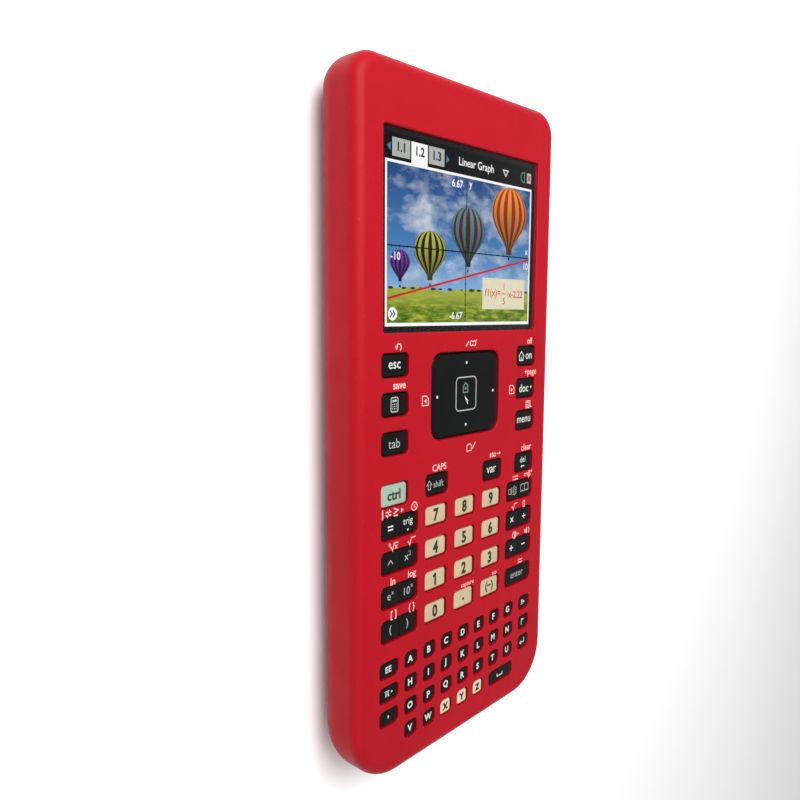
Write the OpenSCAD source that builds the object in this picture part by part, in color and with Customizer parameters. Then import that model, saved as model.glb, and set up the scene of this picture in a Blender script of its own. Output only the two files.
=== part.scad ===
// Handheld graphing calculator lying on its back in a soft silicone sleeve.
// Millimetres. X runs across the keys, Y runs up towards the screen end, Z runs out of the keys.
// The origin is at the middle of the footprint, on the surface that the sleeve lies on.

/* [Sleeve] */
// Overall width of the sleeved calculator
sleeve_w = 91; // [88:0.5:95]
// Overall length of the sleeved calculator
sleeve_l = 194; // [190:0.5:200]
// Height from the resting surface to the sleeve's face
sleeve_t = 19; // [17:0.1:22]
// Thickness of the silicone over the sides
sleeve_wall = 1.9; // [1:0.1:3]
// Thickness of the silicone over the face
sleeve_skin = 1.7; // [1:0.1:2]
// Free space between the sleeve and the housings
sleeve_gap = 0.2; // [0.1:0.05:0.4]
// Plan corner radius at the screen end
top_corner_r = 8.1; // [5:0.1:12]
// Plan corner radius at the letter end
bottom_corner_r = 16.1; // [12:0.1:20]
// How far the rounded back edge reaches in from the side
back_round_w = 13.6; // [8:0.1:16]
// How far the rounded back edge reaches up the side
back_round_h = 10.6; // [7:0.1:12]
// Radius of the edge round the face
face_edge_r = 3.7; // [3:0.1:5]
// Width of the opening in the back
back_opening_w = 55; // [45:1:58]
// Length of the opening in the back
back_opening_l = 152; // [120:1:156]
// Corner radius of the opening in the back
back_opening_r = 12; // [6:1:16]

/* [Screen] */
// Width of the window in the sleeve
window_w = 71.4; // [68:0.2:73]
// Height of the window in the sleeve
window_l = 52.6; // [48:0.2:54]
// Height of the window's middle along Y
window_y = 53.5; // [50:0.1:56]
// Clearance between the lens and the sleeve's window
window_gap = 0.4; // [0.3:0.05:0.8]
// Thickness of the clear lens
lens_t = 0.8; // [0.6:0.1:1.2]
// Height of the lens's face
lens_top_z = 18.65; // [18:0.05:18.9]
// Width of the lit picture
picture_w = 68.8; // [64:0.2:70]
// Height of the lit picture
picture_l = 50; // [46:0.2:51]

/* [Touchpad] */
// Width of the touchpad
pad_w = 31.5; // [28:0.1:34]
// Length of the touchpad
pad_l = 24; // [20:0.1:26]
// Middle of the touchpad along Y
pad_y = 8.8; // [7:0.1:10]
// Corner radius of the touchpad
pad_r = 3.6; // [2:0.1:5]
// Clearance round the touchpad
pad_gap = 0.5; // [0.4:0.1:1.5]
// Height of the touchpad's face
pad_top_z = 18.6; // [18:0.1:19]
// Thickness of the touchpad's cover
pad_t = 1.6; // [1:0.1:2]

/* [Keys] */
// Height of the keys' faces
key_top_z = 18.6; // [18:0.1:19.5]
// Plan corner radius of the keys
key_r = 1; // [0.5:0.1:1.5]
// Clearance between a key and the sleeve
key_sleeve_gap = 0.45; // [0.3:0.05:0.7]
// Clearance between a key and the front housing
key_housing_gap = 0.3; // [0.2:0.05:0.5]
// How far the retaining flange stands out from a key
key_flange = 0.6; // [0.4:0.1:0.8]
// Thickness of the retaining flange
key_flange_t = 0.6; // [0.4:0.1:0.8]
// How far a key goes down
key_travel = 0.8; // [0.4:0.1:1]
// How far a double key tips each way, in degrees
double_tip = 2.5; // [1:0.5:3]
// Width of a number key
number_w = 9.1; // [8:0.1:10]
// Length of a number key
number_l = 5.4; // [5:0.1:6]
// Distance between number columns
number_pitch_x = 13.45; // [12:0.05:14]
// Distance between number rows
number_pitch_y = 9.6; // [9:0.05:10]
// First number row along Y
number_top_y = -25.2; // [-27:0.1:-23]
// Width of a double key
double_w = 14; // [13:0.1:15]
// Length of a double key
double_l = 5.7; // [5:0.1:6.5]
// Distance of the double keys from the middle
double_x = 29; // [28:0.1:30]
// Width of a key in the outer columns beside the touchpad
side_w = 10; // [9:0.1:11]
// Length of a key in the outer columns beside the touchpad
side_l = 5.9; // [5:0.1:6.5]
// Distance of the outer columns from the middle
side_x = 31.1; // [30:0.1:32]
// First key beside the touchpad along Y
side_top_y = 18.7; // [17:0.1:20]
// Distance between the keys beside the touchpad
side_pitch_y = 10.45; // [10:0.05:11]
// Row of ctrl, shift, var and del along Y
shift_y = -16.2; // [-18:0.1:-15]
// Width of the shift and var keys
shift_w = 9.3; // [8:0.1:10]
// Width of a letter key
letter_w = 4.6; // [4:0.1:5]
// Length of a letter key
letter_l = 4.1; // [3.5:0.1:4.5]
// Distance between letter columns
letter_pitch_x = 8.05; // [7:0.05:8.5]
// Distance between letter rows
letter_pitch_y = 6.95; // [6:0.05:7.5]
// First letter row along Y
letter_top_y = -64.9; // [-67:0.1:-63]
// Width of the wider keys at the left end of the letter rows
letter_left_w = 6.8; // [6:0.1:7.5]
// Width of the keys at the right end of the letter rows
letter_right_w = 5.4; // [5:0.1:6]
// Distance of the end keys of the letter rows from the middle
letter_end_x = 33.2; // [32:0.1:34]
// Width of the space bar
space_w = 12.4; // [11:0.1:13]
// Middle of the space bar along X
space_x = 20.3; // [19:0.1:21]

/* [Back] */
// Width of the battery cover
cover_w = 42; // [38:1:46]
// Length of the battery cover
cover_l = 48; // [44:1:50]
// Middle of the battery cover along Y
cover_y = 51; // [50:1:52]
// Height of the rubber feet below the rear housing
foot_h = 0.9; // [0.5:0.1:1.5]
// Travel of the reset button
reset_travel = 0.8; // [0.4:0.1:1]

/* [Hidden] */
arc_steps = 4;
body_arc_steps = 8;
key_arc_steps = 3;
profile_steps = 7;
face_steps = 4;
min_edge_r = 0.9;
round_fn = 48;
eps = 0.05;
skin_over = 1;

housing_gap_all = sleeve_wall + sleeve_gap;
housing_w = sleeve_w - 2 * housing_gap_all;
housing_l = sleeve_l - 2 * housing_gap_all;
housing_bottom_z = housing_gap_all;
housing_top_z = sleeve_t - sleeve_skin - sleeve_gap;
housing_wall = 1.8;
plate_bottom_z = housing_top_z - housing_wall;
split_z = 9;
floor_z = housing_bottom_z + housing_wall;
back_w = back_round_w - housing_gap_all;
back_h = back_round_h - housing_gap_all;
face_r = face_edge_r - housing_gap_all;
corner_top = top_corner_r - housing_gap_all;
corner_bottom = bottom_corner_r - housing_gap_all;

board_bottom_z = 9.4;
board_t = 1.4;
board_top_z = board_bottom_z + board_t;
board_w = 80;
board_l = 184;
mat_z = board_top_z + 0.1;
mat_t = 0.8;
mat_pad_z = 13.6;
double_pad_z = 13.25;
key_bottom_z = 14.5;
double_bottom_z = 13.9;
double_axis_z = 13.6;
double_rib_r = 0.5;
double_ridge_z = 13;
double_pivot_z = 13.6;

screw_xy = [[22, 85.4], [21.5, 23.2], [22.5, -59.85]];
boss_r = 2;
rear_boss_r = 3.2;
screw_r = 1;
screw_head_r = 2;
screw_head_z = 2.9;
screw_head_t = 1.5;
screw_seat_z = screw_head_z + screw_head_t;
screw_end_z = 14;
drive_w = 0.5;

lens_w = window_w - 2 * window_gap;
lens_l = window_l - 2 * window_gap;
lens_bottom_z = lens_top_z - lens_t;
rim_top_z = lens_bottom_z - 0.05;
tray_t = 0.2;
tray_w = picture_w + 0.6;
tray_l = picture_l + 0.6;
rim_inner_w = tray_w + 0.2;
rim_inner_l = tray_l + 0.2;
panel_t = 1.5;
panel_top_z = rim_top_z - 0.2;
panel_bottom_z = panel_top_z - panel_t;
light_t = 1.6;
light_bottom_z = panel_bottom_z - 0.1 - light_t;
tray_bottom_z = light_bottom_z - 0.3;
tray_top_z = panel_top_z - 0.2;
flex_w = 26;
flex_t = 0.2;
flex_y = window_y - picture_l / 2 + 0.6;
flex_end_y = 20;

sensor_t = 0.9;
sensor_top_z = pad_top_z - pad_t;
sensor_bottom_z = sensor_top_z - sensor_t;
plate_top_z = sensor_bottom_z - 0.7;
plate_t = 0.8;
tilt_rib_r = 0.35;
tilt_rib_rise = 0.25;
actuator_top_z = plate_top_z - plate_t - 0.7;
actuator_t = 1.4;
click_travel = 0.4;

cover_t = 1.5;
cover_gap = 0.25;
cover_screw_x = 15;
cover_screw_y = cover_y + cover_l / 2 - 4.6;
battery_w = 36;
battery_l = 36;
battery_y = cover_y - 4.2;
battery_bottom_z = 4;
battery_t = 5;

usb_x = 0;
usb_w = 7.7;
usb_h = 3.9;
usb_l = 9.2;
usb_wall = 0.4;
usb_y = housing_l / 2 - usb_l / 2 - 0.6;
light_x = 8.6;
light_r = 0.9;
port_z = board_top_z + usb_h / 2;
dock_w = 18;
dock_h = 3.2;
dock_l = 5;
dock_y = -housing_l / 2 + dock_l / 2 + 0.5;

foot_x = 21;
foot_y = [-67.5, 12];
foot_w = 7;
foot_l = 8;
reset_x = -12;
reset_y = -40;
reset_r = 1.4;

// Key places, each as [x, y, width, length].
function side_key(side, row) = [side * side_x, side_top_y - row * side_pitch_y, side_w, side_l];
k_esc = side_key(-1, 0);
k_scratchpad = side_key(-1, 1);
k_tab = side_key(-1, 2);
k_on = side_key(1, 0);
k_doc = side_key(1, 1);
k_menu = side_key(1, 2);
k_ctrl = [-side_x, shift_y, side_w, side_l];
k_shift = [-number_pitch_x, shift_y, shift_w, side_l];
k_var = [number_pitch_x, shift_y, shift_w, side_l];
k_del = [side_x, shift_y, side_w, side_l];
single_keys = [k_esc, k_scratchpad, k_tab, k_on, k_doc, k_menu, k_ctrl, k_shift, k_var, k_del];

function number_key(row, col) =
    [col * number_pitch_x, number_top_y - row * number_pitch_y, number_w, number_l];
number_keys = [for (row = [0:3]) for (col = [-1:1]) number_key(row, col)];

function double_key(side, row) =
    [side * double_x, number_top_y - row * number_pitch_y, double_w, double_l];
k_enter = double_key(1, 3);
double_keys = concat(
    [for (row = [0:3]) double_key(-1, row)],
    [for (row = [0:2]) double_key(1, row)]
);

function letter_key(row, col) =
    [col * letter_pitch_x, letter_top_y - row * letter_pitch_y, letter_w, letter_l];
function letter_row(row) = concat(
    [[-letter_end_x, letter_top_y - row * letter_pitch_y, letter_left_w, letter_l]],
    [for (col = [-3:3]) letter_key(row, col)],
    [[letter_end_x, letter_top_y - row * letter_pitch_y, letter_right_w, letter_l]]
);
last_row = 3;
dark_last = concat(
    [for (col = [-3:-2]) letter_key(last_row, col)],
    [[space_x, letter_top_y - last_row * letter_pitch_y, space_w, letter_l]]
);
cream_last = [for (col = [-1:1]) letter_key(last_row, col)];
letter_keys = concat(letter_row(0), letter_row(1), letter_row(2), dark_last, cream_last);
press_keys = concat(single_keys, number_keys, [k_enter], letter_keys);
all_keys = concat(press_keys, double_keys);

// Outline of a rectangle with its own corner radius at each end, as a list of points.
function corner(x, y, r, from, steps) = [
    for (i = [0:steps])
        let (turn = from + 90 * i / steps)
            [x + r * cos(turn), y + r * sin(turn)]
];
function outline(w, l, r_top, r_bottom, steps = arc_steps) = concat(
    corner(w / 2 - r_top, l / 2 - r_top, r_top, 0, steps),
    corner(-w / 2 + r_top, l / 2 - r_top, r_top, 90, steps),
    corner(-w / 2 + r_bottom, -l / 2 + r_bottom, r_bottom, 180, steps),
    corner(w / 2 - r_bottom, -l / 2 + r_bottom, r_bottom, 270, steps)
);

// Edge profile of the body grown by g, as a list of [inset, height].
function back_profile(g) = [
    for (i = [0:profile_steps])
        let (turn = 90 * i / profile_steps)
            [(back_w + g) * (1 - sin(turn)), housing_bottom_z - g + (back_h + g) * (1 - cos(turn))]
];
function face_profile(edge_r, z_top) = [
    for (i = [0:face_steps])
        let (turn = 90 * i / face_steps)
            [edge_r * (1 - cos(turn)), z_top - edge_r * (1 - sin(turn))]
];

module block(w, l, z0, z1, r = 0, steps = arc_steps) {
    translate([0, 0, z0])
        linear_extrude(z1 - z0)
            if (r > 0) polygon(outline(w, l, r, r, steps));
            else square([w, l], center = true);
}

module disc(r, z0, z1) {
    translate([0, 0, z0])
        cylinder(r = r, h = z1 - z0, $fn = round_fn);
}

module mirrored() {
    for (side = [-1, 1])
        scale([side, 1, 1])
            children();
}

// Solid through a stack of outlines that all have the same number of points.
module loft(rings) {
    count = len(rings[0]);
    last = len(rings) - 1;
    points = [for (ring = rings) for (p = ring) p];
    sides = [
        for (j = [0:last - 1])
            for (i = [0:count - 1])
                let (a = j * count + i)
                let (b = j * count + (i + 1) % count)
                    for (face = [[a, a + count, b + count], [a, b + count, b]])
                        face
    ];
    polyhedron(
        points = points,
        faces = concat(
            [[for (i = [0:count - 1]) i]],
            sides,
            [[for (i = [count - 1:-1:0]) last * count + i]]
        )
    );
}

// Smooth pillow shape of the whole body, grown by g all round, with its face at z_top.
module grown(g, z_top) {
    profile = concat(back_profile(g), face_profile(max(face_r + g, min_edge_r), z_top));
    loft([
        for (p = profile)
            [
                for (q = outline(
                    housing_w + 2 * g - 2 * p[0],
                    housing_l + 2 * g - 2 * p[0],
                    max(corner_top + g - p[0], 2),
                    max(corner_bottom + g - p[0], 4),
                    body_arc_steps
                ))
                    [q[0], q[1], p[1]]
            ]
    ]);
}

module half_space(z0, z1) {
    translate([0, 0, (z0 + z1) / 2])
        cube([2 * sleeve_w, 2 * sleeve_l, z1 - z0], center = true);
}

module key_outlines(keys, gap) {
    for (k = keys)
        translate([k[0], k[1]])
            polygon(outline(
                k[2] + 2 * gap,
                k[3] + 2 * gap,
                key_r + gap / 2,
                key_r + gap / 2,
                key_arc_steps
            ));
}

module cut_keys(gap, z0, z1) {
    translate([0, 0, z0])
        linear_extrude(z1 - z0) {
            key_outlines(all_keys, gap);
            translate([0, pad_y])
                polygon(outline(pad_w + 2 * pad_gap, pad_l + 2 * pad_gap, pad_r + pad_gap, pad_r + pad_gap));
        }
}

module port_cut(x, w, z0, z1, side, r) {
    translate([x, side * sleeve_l / 2, (z0 + z1) / 2])
        rotate([90, 0, 0])
            linear_extrude(12, center = true)
                polygon(outline(w, z1 - z0, r, r));
}

module silicone_sleeve() {
    color([0.78, 0.1, 0.14])
        difference() {
            grown(housing_gap_all, sleeve_t);
            grown(sleeve_gap, sleeve_t - sleeve_skin);
            cut_keys(key_sleeve_gap, sleeve_t - sleeve_skin - skin_over, sleeve_t + skin_over);
            translate([0, window_y, 0])
                block(window_w, window_l, sleeve_t - sleeve_skin - skin_over, sleeve_t + skin_over, 1);
            block(back_opening_w, back_opening_l, -skin_over, sleeve_wall + skin_over, back_opening_r);
            port_cut(2, 21, 8.6, 16.6, 1, 2.5);
            port_cut(0, 26, 8.6, 16.6, -1, 2.5);
        }
}

module housing_block() {
    difference() {
        grown(0, housing_top_z);
        grown(-housing_wall, plate_bottom_z);
    }
}

module screw_places() {
    for (p = screw_xy)
        mirrored()
            translate([p[0], p[1], 0])
                children();
}

module front_housing() {
    color([0.12, 0.13, 0.14])
        difference() {
            union() {
                intersection() {
                    housing_block();
                    half_space(split_z, sleeve_t);
                }
                translate([0, window_y, 0])
                    block(lens_w, lens_l, housing_top_z - eps, rim_top_z, 1);
                screw_places()
                    disc(boss_r, board_top_z, plate_bottom_z + eps);
            }
            cut_keys(key_housing_gap, plate_bottom_z - skin_over, housing_top_z + skin_over);
            translate([0, window_y, 0])
                block(rim_inner_w, rim_inner_l, plate_bottom_z - skin_over, sleeve_t);
            screw_places()
                disc(screw_r + 0.03, board_top_z - eps, screw_end_z + 0.4);
            port_cut(usb_x, usb_w + 0.8, port_z - usb_h / 2 - 0.2, port_z + usb_h / 2 + 0.4, 1, 0.8);
            port_cut(0, dock_w + 0.8, port_z - dock_h / 2 - 0.4, port_z + dock_h / 2 + 0.4, -1, 0.8);
            translate([light_x, housing_l / 2, port_z])
                rotate([90, 0, 0])
                    cylinder(r = light_r + 0.1, h = 8, center = true, $fn = round_fn);
        }
}

module cover_outline(grow) {
    polygon(outline(cover_w + 2 * grow, cover_l + 2 * grow, 3 + grow, 3 + grow));
}

module rear_housing() {
    color([0.14, 0.15, 0.16])
        difference() {
            union() {
                intersection() {
                    housing_block();
                    half_space(0, split_z);
                }
                screw_places()
                    disc(rear_boss_r, floor_z - eps, board_bottom_z - 0.1);
            }
            screw_places() {
                disc(screw_head_r + 0.3, 0, screw_seat_z);
                disc(screw_r + 0.2, 0, board_bottom_z);
            }
            translate([0, cover_y, housing_bottom_z - skin_over])
                linear_extrude(cover_t + skin_over + 0.05)
                    cover_outline(cover_gap);
            translate([0, battery_y, 0])
                block(battery_w + 1, battery_l + 1, 0, floor_z + skin_over, 2);
            for (side = [-1, 1])
                translate([side * cover_screw_x, cover_screw_y, 0])
                    disc(screw_r - 0.17, 0, floor_z + skin_over);
            foot_places()
                block(foot_w + 0.2, foot_l + 0.2, 0, housing_bottom_z + 0.6, 2.1);
            translate([reset_x, reset_y, 0])
                disc(reset_r + 0.3, 0, floor_z + skin_over);
            translate([0, -14, 0])
                block(38, 24, 0, housing_bottom_z + 0.3, 1.5);
        }
}

module foot_places() {
    for (side = [-1, 1])
        for (y = foot_y)
            translate([side * foot_x, y, 0])
                children();
}

module rubber_feet() {
    color([0.08, 0.08, 0.08])
        foot_places()
            block(foot_w, foot_l, housing_bottom_z - foot_h, housing_bottom_z + 0.6, 2);
}

module screw(r, head_r, head_z, head_t, end_z) {
    difference() {
        union() {
            disc(head_r, head_z, head_z + head_t);
            disc(r, head_z + head_t - eps, end_z);
        }
        for (turn = [0, 90])
            rotate([0, 0, turn])
                translate([0, 0, head_z])
                    cube([2.4, drive_w, 1.4], center = true);
    }
}

module housing_screws() {
    color([0.62, 0.62, 0.64])
        screw_places()
            screw(screw_r, screw_head_r, screw_head_z, screw_head_t, screw_end_z);
}

module screen_lens() {
    color([0.75, 0.8, 0.85, 0.35])
        translate([0, window_y, 0])
            block(lens_w, lens_l, lens_bottom_z, lens_top_z, 1);
}

module lcd_panel() {
    color([0.3, 0.45, 0.7])
        translate([0, window_y, 0]) {
            translate([0, 0.7, 0])
                block(picture_w, picture_l - 1.4, light_bottom_z, light_bottom_z + light_t);
            block(picture_w, picture_l, panel_bottom_z, panel_top_z);
        }
}

module lcd_frame() {
    color([0.7, 0.71, 0.73])
        difference() {
            translate([0, window_y, 0])
                block(tray_w, tray_l, tray_bottom_z, tray_top_z);
            translate([0, window_y, 0])
                block(tray_w - 2 * tray_t, tray_l - 2 * tray_t, tray_bottom_z + tray_t, tray_top_z + skin_over);
            translate([0, flex_y, 0])
                block(flex_w + 1, 1, tray_bottom_z - skin_over, tray_bottom_z + skin_over);
        }
}

// Ribbon from under the panel, down through the frame's slot and along the board.
module lcd_flex() {
    color([0.75, 0.45, 0.1])
        translate([-flex_w / 2, 0, 0])
            rotate([90, 0, 90])
                linear_extrude(flex_w)
                    polygon([
                        [flex_y - flex_t / 2, panel_bottom_z],
                        [flex_y + flex_t / 2, panel_bottom_z],
                        [flex_y + flex_t / 2, board_top_z],
                        [flex_end_y, board_top_z],
                        [flex_end_y, board_top_z + flex_t],
                        [flex_y - flex_t / 2, board_top_z + flex_t]
                    ]);
}

module main_board() {
    color([0.08, 0.35, 0.2])
        difference() {
            translate([0, 0, board_bottom_z])
                linear_extrude(board_t)
                    polygon(outline(board_w, board_l, 4.5, 13));
            screw_places()
                disc(screw_r + 0.3, 0, sleeve_t);
        }
}

module chip(x, y, w, l, h) {
    translate([x, y, 0])
        block(w, l, board_bottom_z - h, board_bottom_z);
}

module board_chips() {
    color([0.1, 0.1, 0.11]) {
        chip(-5, -14, 13, 13, 1.2);
        chip(8, -14, 9, 11, 1);
        chip(24, 4, 6, 6, 0.9);
        chip(-24, 2, 8, 5, 0.9);
        chip(-26, -34, 5, 5, 0.9);
        chip(26, -30, 7, 7, 1);
        chip(0, 19.4, 8, 3.6, 2.6);
        translate([0, pad_y, 0])
            disc(2.4, board_top_z, board_top_z + 0.15);
    }
}

module shield_can() {
    color([0.72, 0.73, 0.75])
        translate([1, -14, 0])
            difference() {
                block(31, 20, board_bottom_z - 2.2, board_bottom_z, 1);
                block(30.4, 19.4, board_bottom_z - 1.9, board_bottom_z + skin_over, 0.8);
            }
}

module key_mat() {
    color([0.5, 0.5, 0.52])
        difference() {
            union() {
                translate([0, -33, mat_z])
                    linear_extrude(mat_t)
                        polygon(outline(78, 111, 3, 12));
                translate([0, 0, mat_z])
                    linear_extrude(mat_pad_z - mat_z)
                        for (k = press_keys)
                            translate([k[0], k[1]])
                                square([k[2] - 1.2, k[3] - 1.2], center = true);
                translate([0, 0, mat_z])
                    linear_extrude(double_pad_z - mat_z)
                        for (k = double_keys)
                            for (side = [-1, 1])
                                translate([k[0] + side * k[2] / 4, k[1]])
                                    square([5, k[3] - 1.4], center = true);
                translate([0, 0, mat_z])
                    linear_extrude(double_ridge_z - mat_z)
                        for (k = double_keys)
                            translate([k[0], k[1]])
                                square([1.2, k[3] - 1.4], center = true);
            }
            screw_places()
                disc(boss_r + 0.4, 0, sleeve_t);
            translate([0, pad_y + 5, 0])
                block(34.5, 38, 0, sleeve_t);
        }
}

module battery_pack() {
    color([0.2, 0.35, 0.6])
        translate([0, battery_y, 0])
            block(battery_w, battery_l, battery_bottom_z, battery_bottom_z + battery_t, 1.5);
}

module battery_lead() {
    lead_z = 7.7;
    battery_end = battery_y - battery_l / 2;
    color([0.8, 0.1, 0.1])
        for (wire = [-1, 0, 1])
            translate([wire * 2, battery_end, lead_z])
                rotate([90, 0, 0])
                    cylinder(r = 0.55, h = battery_end - 21.2, $fn = round_fn);
}

module battery_cover() {
    color([0.16, 0.17, 0.18])
        difference() {
            union() {
                translate([0, cover_y, housing_bottom_z])
                    linear_extrude(cover_t)
                        cover_outline(0);
                translate([0, battery_y, 0])
                    block(battery_w - 2, battery_l - 2, housing_bottom_z + cover_t - eps, battery_bottom_z - 0.05, 2);
            }
            for (side = [-1, 1])
                translate([side * cover_screw_x, cover_screw_y, 0]) {
                    disc(screw_r + 0.15, 0, sleeve_t);
                    disc(screw_head_r - 0.1, 0, housing_bottom_z + 0.9);
                }
            for (rib = [0:4])
                translate([0, cover_y - cover_l / 2 + 5 + rib * 1.8, housing_bottom_z])
                    cube([14, 0.8, 0.7], center = true);
        }
}

module battery_cover_screws() {
    color([0.62, 0.62, 0.64])
        for (side = [-1, 1])
            translate([side * cover_screw_x, cover_screw_y, 0])
                screw(0.8, 1.7, housing_bottom_z + 0.1, 0.75, 6.2);
}

module usb_socket() {
    color([0.75, 0.76, 0.78])
        translate([usb_x, usb_y, port_z])
            rotate([90, 0, 0])
                difference() {
                    translate([0, 0, -usb_l / 2])
                        linear_extrude(usb_l)
                            polygon(outline(usb_w, usb_h, 0.6, 1));
                    translate([0, 0, -usb_l / 2 - skin_over])
                        linear_extrude(usb_l - 1.4 + skin_over)
                            difference() {
                                polygon(outline(usb_w - 2 * usb_wall, usb_h - 2 * usb_wall, 0.4, 0.7));
                                square([4.4, 0.9], center = true);
                            }
                }
}

module dock_connector() {
    color([0.1, 0.1, 0.1])
        translate([0, dock_y, port_z])
            difference() {
                cube([dock_w, dock_l, dock_h], center = true);
                for (slot = [-4:4])
                    translate([slot * 1.8, -dock_l / 2, 0])
                        cube([0.9, 3, 1.6], center = true);
            }
}

module status_light() {
    color([0.9, 0.75, 0.3])
        translate([light_x, housing_l / 2 - 0.1, port_z])
            rotate([90, 0, 0])
                cylinder(r = light_r, h = 4, $fn = round_fn);
}

module reset_button() {
    color([0.1, 0.1, 0.1])
        translate([reset_x, reset_y, 0]) {
            disc(reset_r, housing_bottom_z + 0.3, floor_z + 2);
            disc(reset_r + 0.9, floor_z + 0.1, floor_z + 0.7);
        }
}

module touchpad() {
    color([0.06, 0.06, 0.07])
        translate([0, pad_y, 0])
            block(pad_w, pad_l, sensor_top_z, pad_top_z, pad_r);
}

module touchpad_sensor() {
    color([0.1, 0.3, 0.2])
        translate([0, pad_y, 0])
            block(pad_w - 1.4, pad_l - 1.4, sensor_bottom_z, sensor_top_z, pad_r - 0.7);
}

module touchpad_plate() {
    color([0.7, 0.71, 0.73])
        translate([0, pad_y, 0]) {
            block(pad_w - 3, pad_l - 3, plate_top_z - plate_t, plate_top_z, 2);
            translate([0, 0, plate_top_z + tilt_rib_rise])
                rotate([90, 0, 0])
                    cylinder(r = tilt_rib_r, h = pad_l - 6, center = true, $fn = round_fn);
        }
}

module touchpad_actuator() {
    color([0.9, 0.9, 0.88])
        translate([0, pad_y, 0]) {
            block(22, 14, actuator_top_z - actuator_t, actuator_top_z, 2);
            translate([0, 0, actuator_top_z + tilt_rib_rise])
                rotate([0, 90, 0])
                    cylinder(r = tilt_rib_r, h = 18, center = true, $fn = round_fn);
            disc(1.6, board_top_z + 0.15 + click_travel + 0.1, actuator_top_z - actuator_t + eps);
        }
}

module press_key(k) {
    translate([k[0], k[1], 0]) {
        block(k[2], k[3], key_bottom_z, key_top_z, key_r, key_arc_steps);
        block(k[2] + 2 * key_flange, k[3] + 2 * key_flange, key_bottom_z, key_bottom_z + key_flange_t);
    }
}

// A double key has a shallow valley between its halves and tips on a rib under its middle.
module double_keycap(k) {
    translate([k[0], k[1], 0])
        difference() {
            union() {
                block(k[2], k[3], double_bottom_z, key_top_z, key_r, key_arc_steps);
                block(k[2] + key_flange, k[3] + 2 * key_flange, double_bottom_z, double_bottom_z + key_flange_t);
                translate([0, 0, double_axis_z])
                    rotate([90, 0, 0])
                        cylinder(r = double_rib_r, h = k[3] - 1, center = true, $fn = round_fn);
            }
            translate([0, 0, key_top_z])
                cube([0.5, k[3] + 1, 0.5], center = true);
        }
}

module dark_key() {
    color([0.1, 0.11, 0.11])
        children();
}

module beige_key() {
    color([0.79, 0.73, 0.6])
        children();
}

module key_esc() dark_key() press_key(k_esc);
module key_scratchpad() dark_key() press_key(k_scratchpad);
module key_tab() dark_key() press_key(k_tab);
module key_on() dark_key() press_key(k_on);
module key_doc() dark_key() press_key(k_doc);
module key_menu() dark_key() press_key(k_menu);
module key_ctrl() color([0.66, 0.74, 0.67]) press_key(k_ctrl);
module key_shift() dark_key() press_key(k_shift);
module key_var() dark_key() press_key(k_var);
module key_del() dark_key() press_key(k_del);
module key_7() beige_key() press_key(number_key(0, -1));
module key_8() beige_key() press_key(number_key(0, 0));
module key_9() beige_key() press_key(number_key(0, 1));
module key_4() beige_key() press_key(number_key(1, -1));
module key_5() beige_key() press_key(number_key(1, 0));
module key_6() beige_key() press_key(number_key(1, 1));
module key_1() beige_key() press_key(number_key(2, -1));
module key_2() beige_key() press_key(number_key(2, 0));
module key_3() beige_key() press_key(number_key(2, 1));
module key_0() beige_key() press_key(number_key(3, -1));
module key_point() beige_key() press_key(number_key(3, 0));
module key_negate() beige_key() press_key(number_key(3, 1));
module key_enter() dark_key() press_key(k_enter);
module key_equals_trig() dark_key() double_keycap(double_key(-1, 0));
module key_power_square() dark_key() double_keycap(double_key(-1, 1));
module key_exponentials() dark_key() double_keycap(double_key(-1, 2));
module key_brackets() dark_key() double_keycap(double_key(-1, 3));
module key_template_catalog() dark_key() double_keycap(double_key(1, 0));
module key_times_divide() dark_key() double_keycap(double_key(1, 1));
module key_plus_minus() dark_key() double_keycap(double_key(1, 2));

module letter_group(keys) {
    for (k = keys)
        press_key(k);
}

module letter_keys_row_1() dark_key() letter_group(letter_row(0));
module letter_keys_row_2() dark_key() letter_group(letter_row(1));
module letter_keys_row_3() dark_key() letter_group(letter_row(2));
module letter_keys_row_4() dark_key() letter_group(dark_last);
module letter_keys_xyz() color([0.86, 0.82, 0.72]) letter_group(cream_last);

silicone_sleeve();
front_housing();
rear_housing();
housing_screws();
screen_lens();
lcd_panel();
lcd_frame();
lcd_flex();
main_board();
board_chips();
shield_can();
key_mat();
battery_pack();
battery_lead();
battery_cover();
battery_cover_screws();
usb_socket();
dock_connector();
status_light();
rubber_feet();
reset_button();
touchpad();
touchpad_sensor();
touchpad_plate();
touchpad_actuator();
key_esc();
key_scratchpad();
key_tab();
key_on();
key_doc();
key_menu();
key_ctrl();
key_shift();
key_var();
key_del();
key_7();
key_8();
key_9();
key_4();
key_5();
key_6();
key_1();
key_2();
key_3();
key_0();
key_point();
key_negate();
key_enter();
key_equals_trig();
key_power_square();
key_exponentials();
key_brackets();
key_template_catalog();
key_times_divide();
key_plus_minus();
letter_keys_row_1();
letter_keys_row_2();
letter_keys_row_3();
letter_keys_row_4();
letter_keys_xyz();
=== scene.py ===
import bpy
import bmesh
import math
import random
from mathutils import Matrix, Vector
from mathutils.geometry import delaunay_2d_cdt


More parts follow.
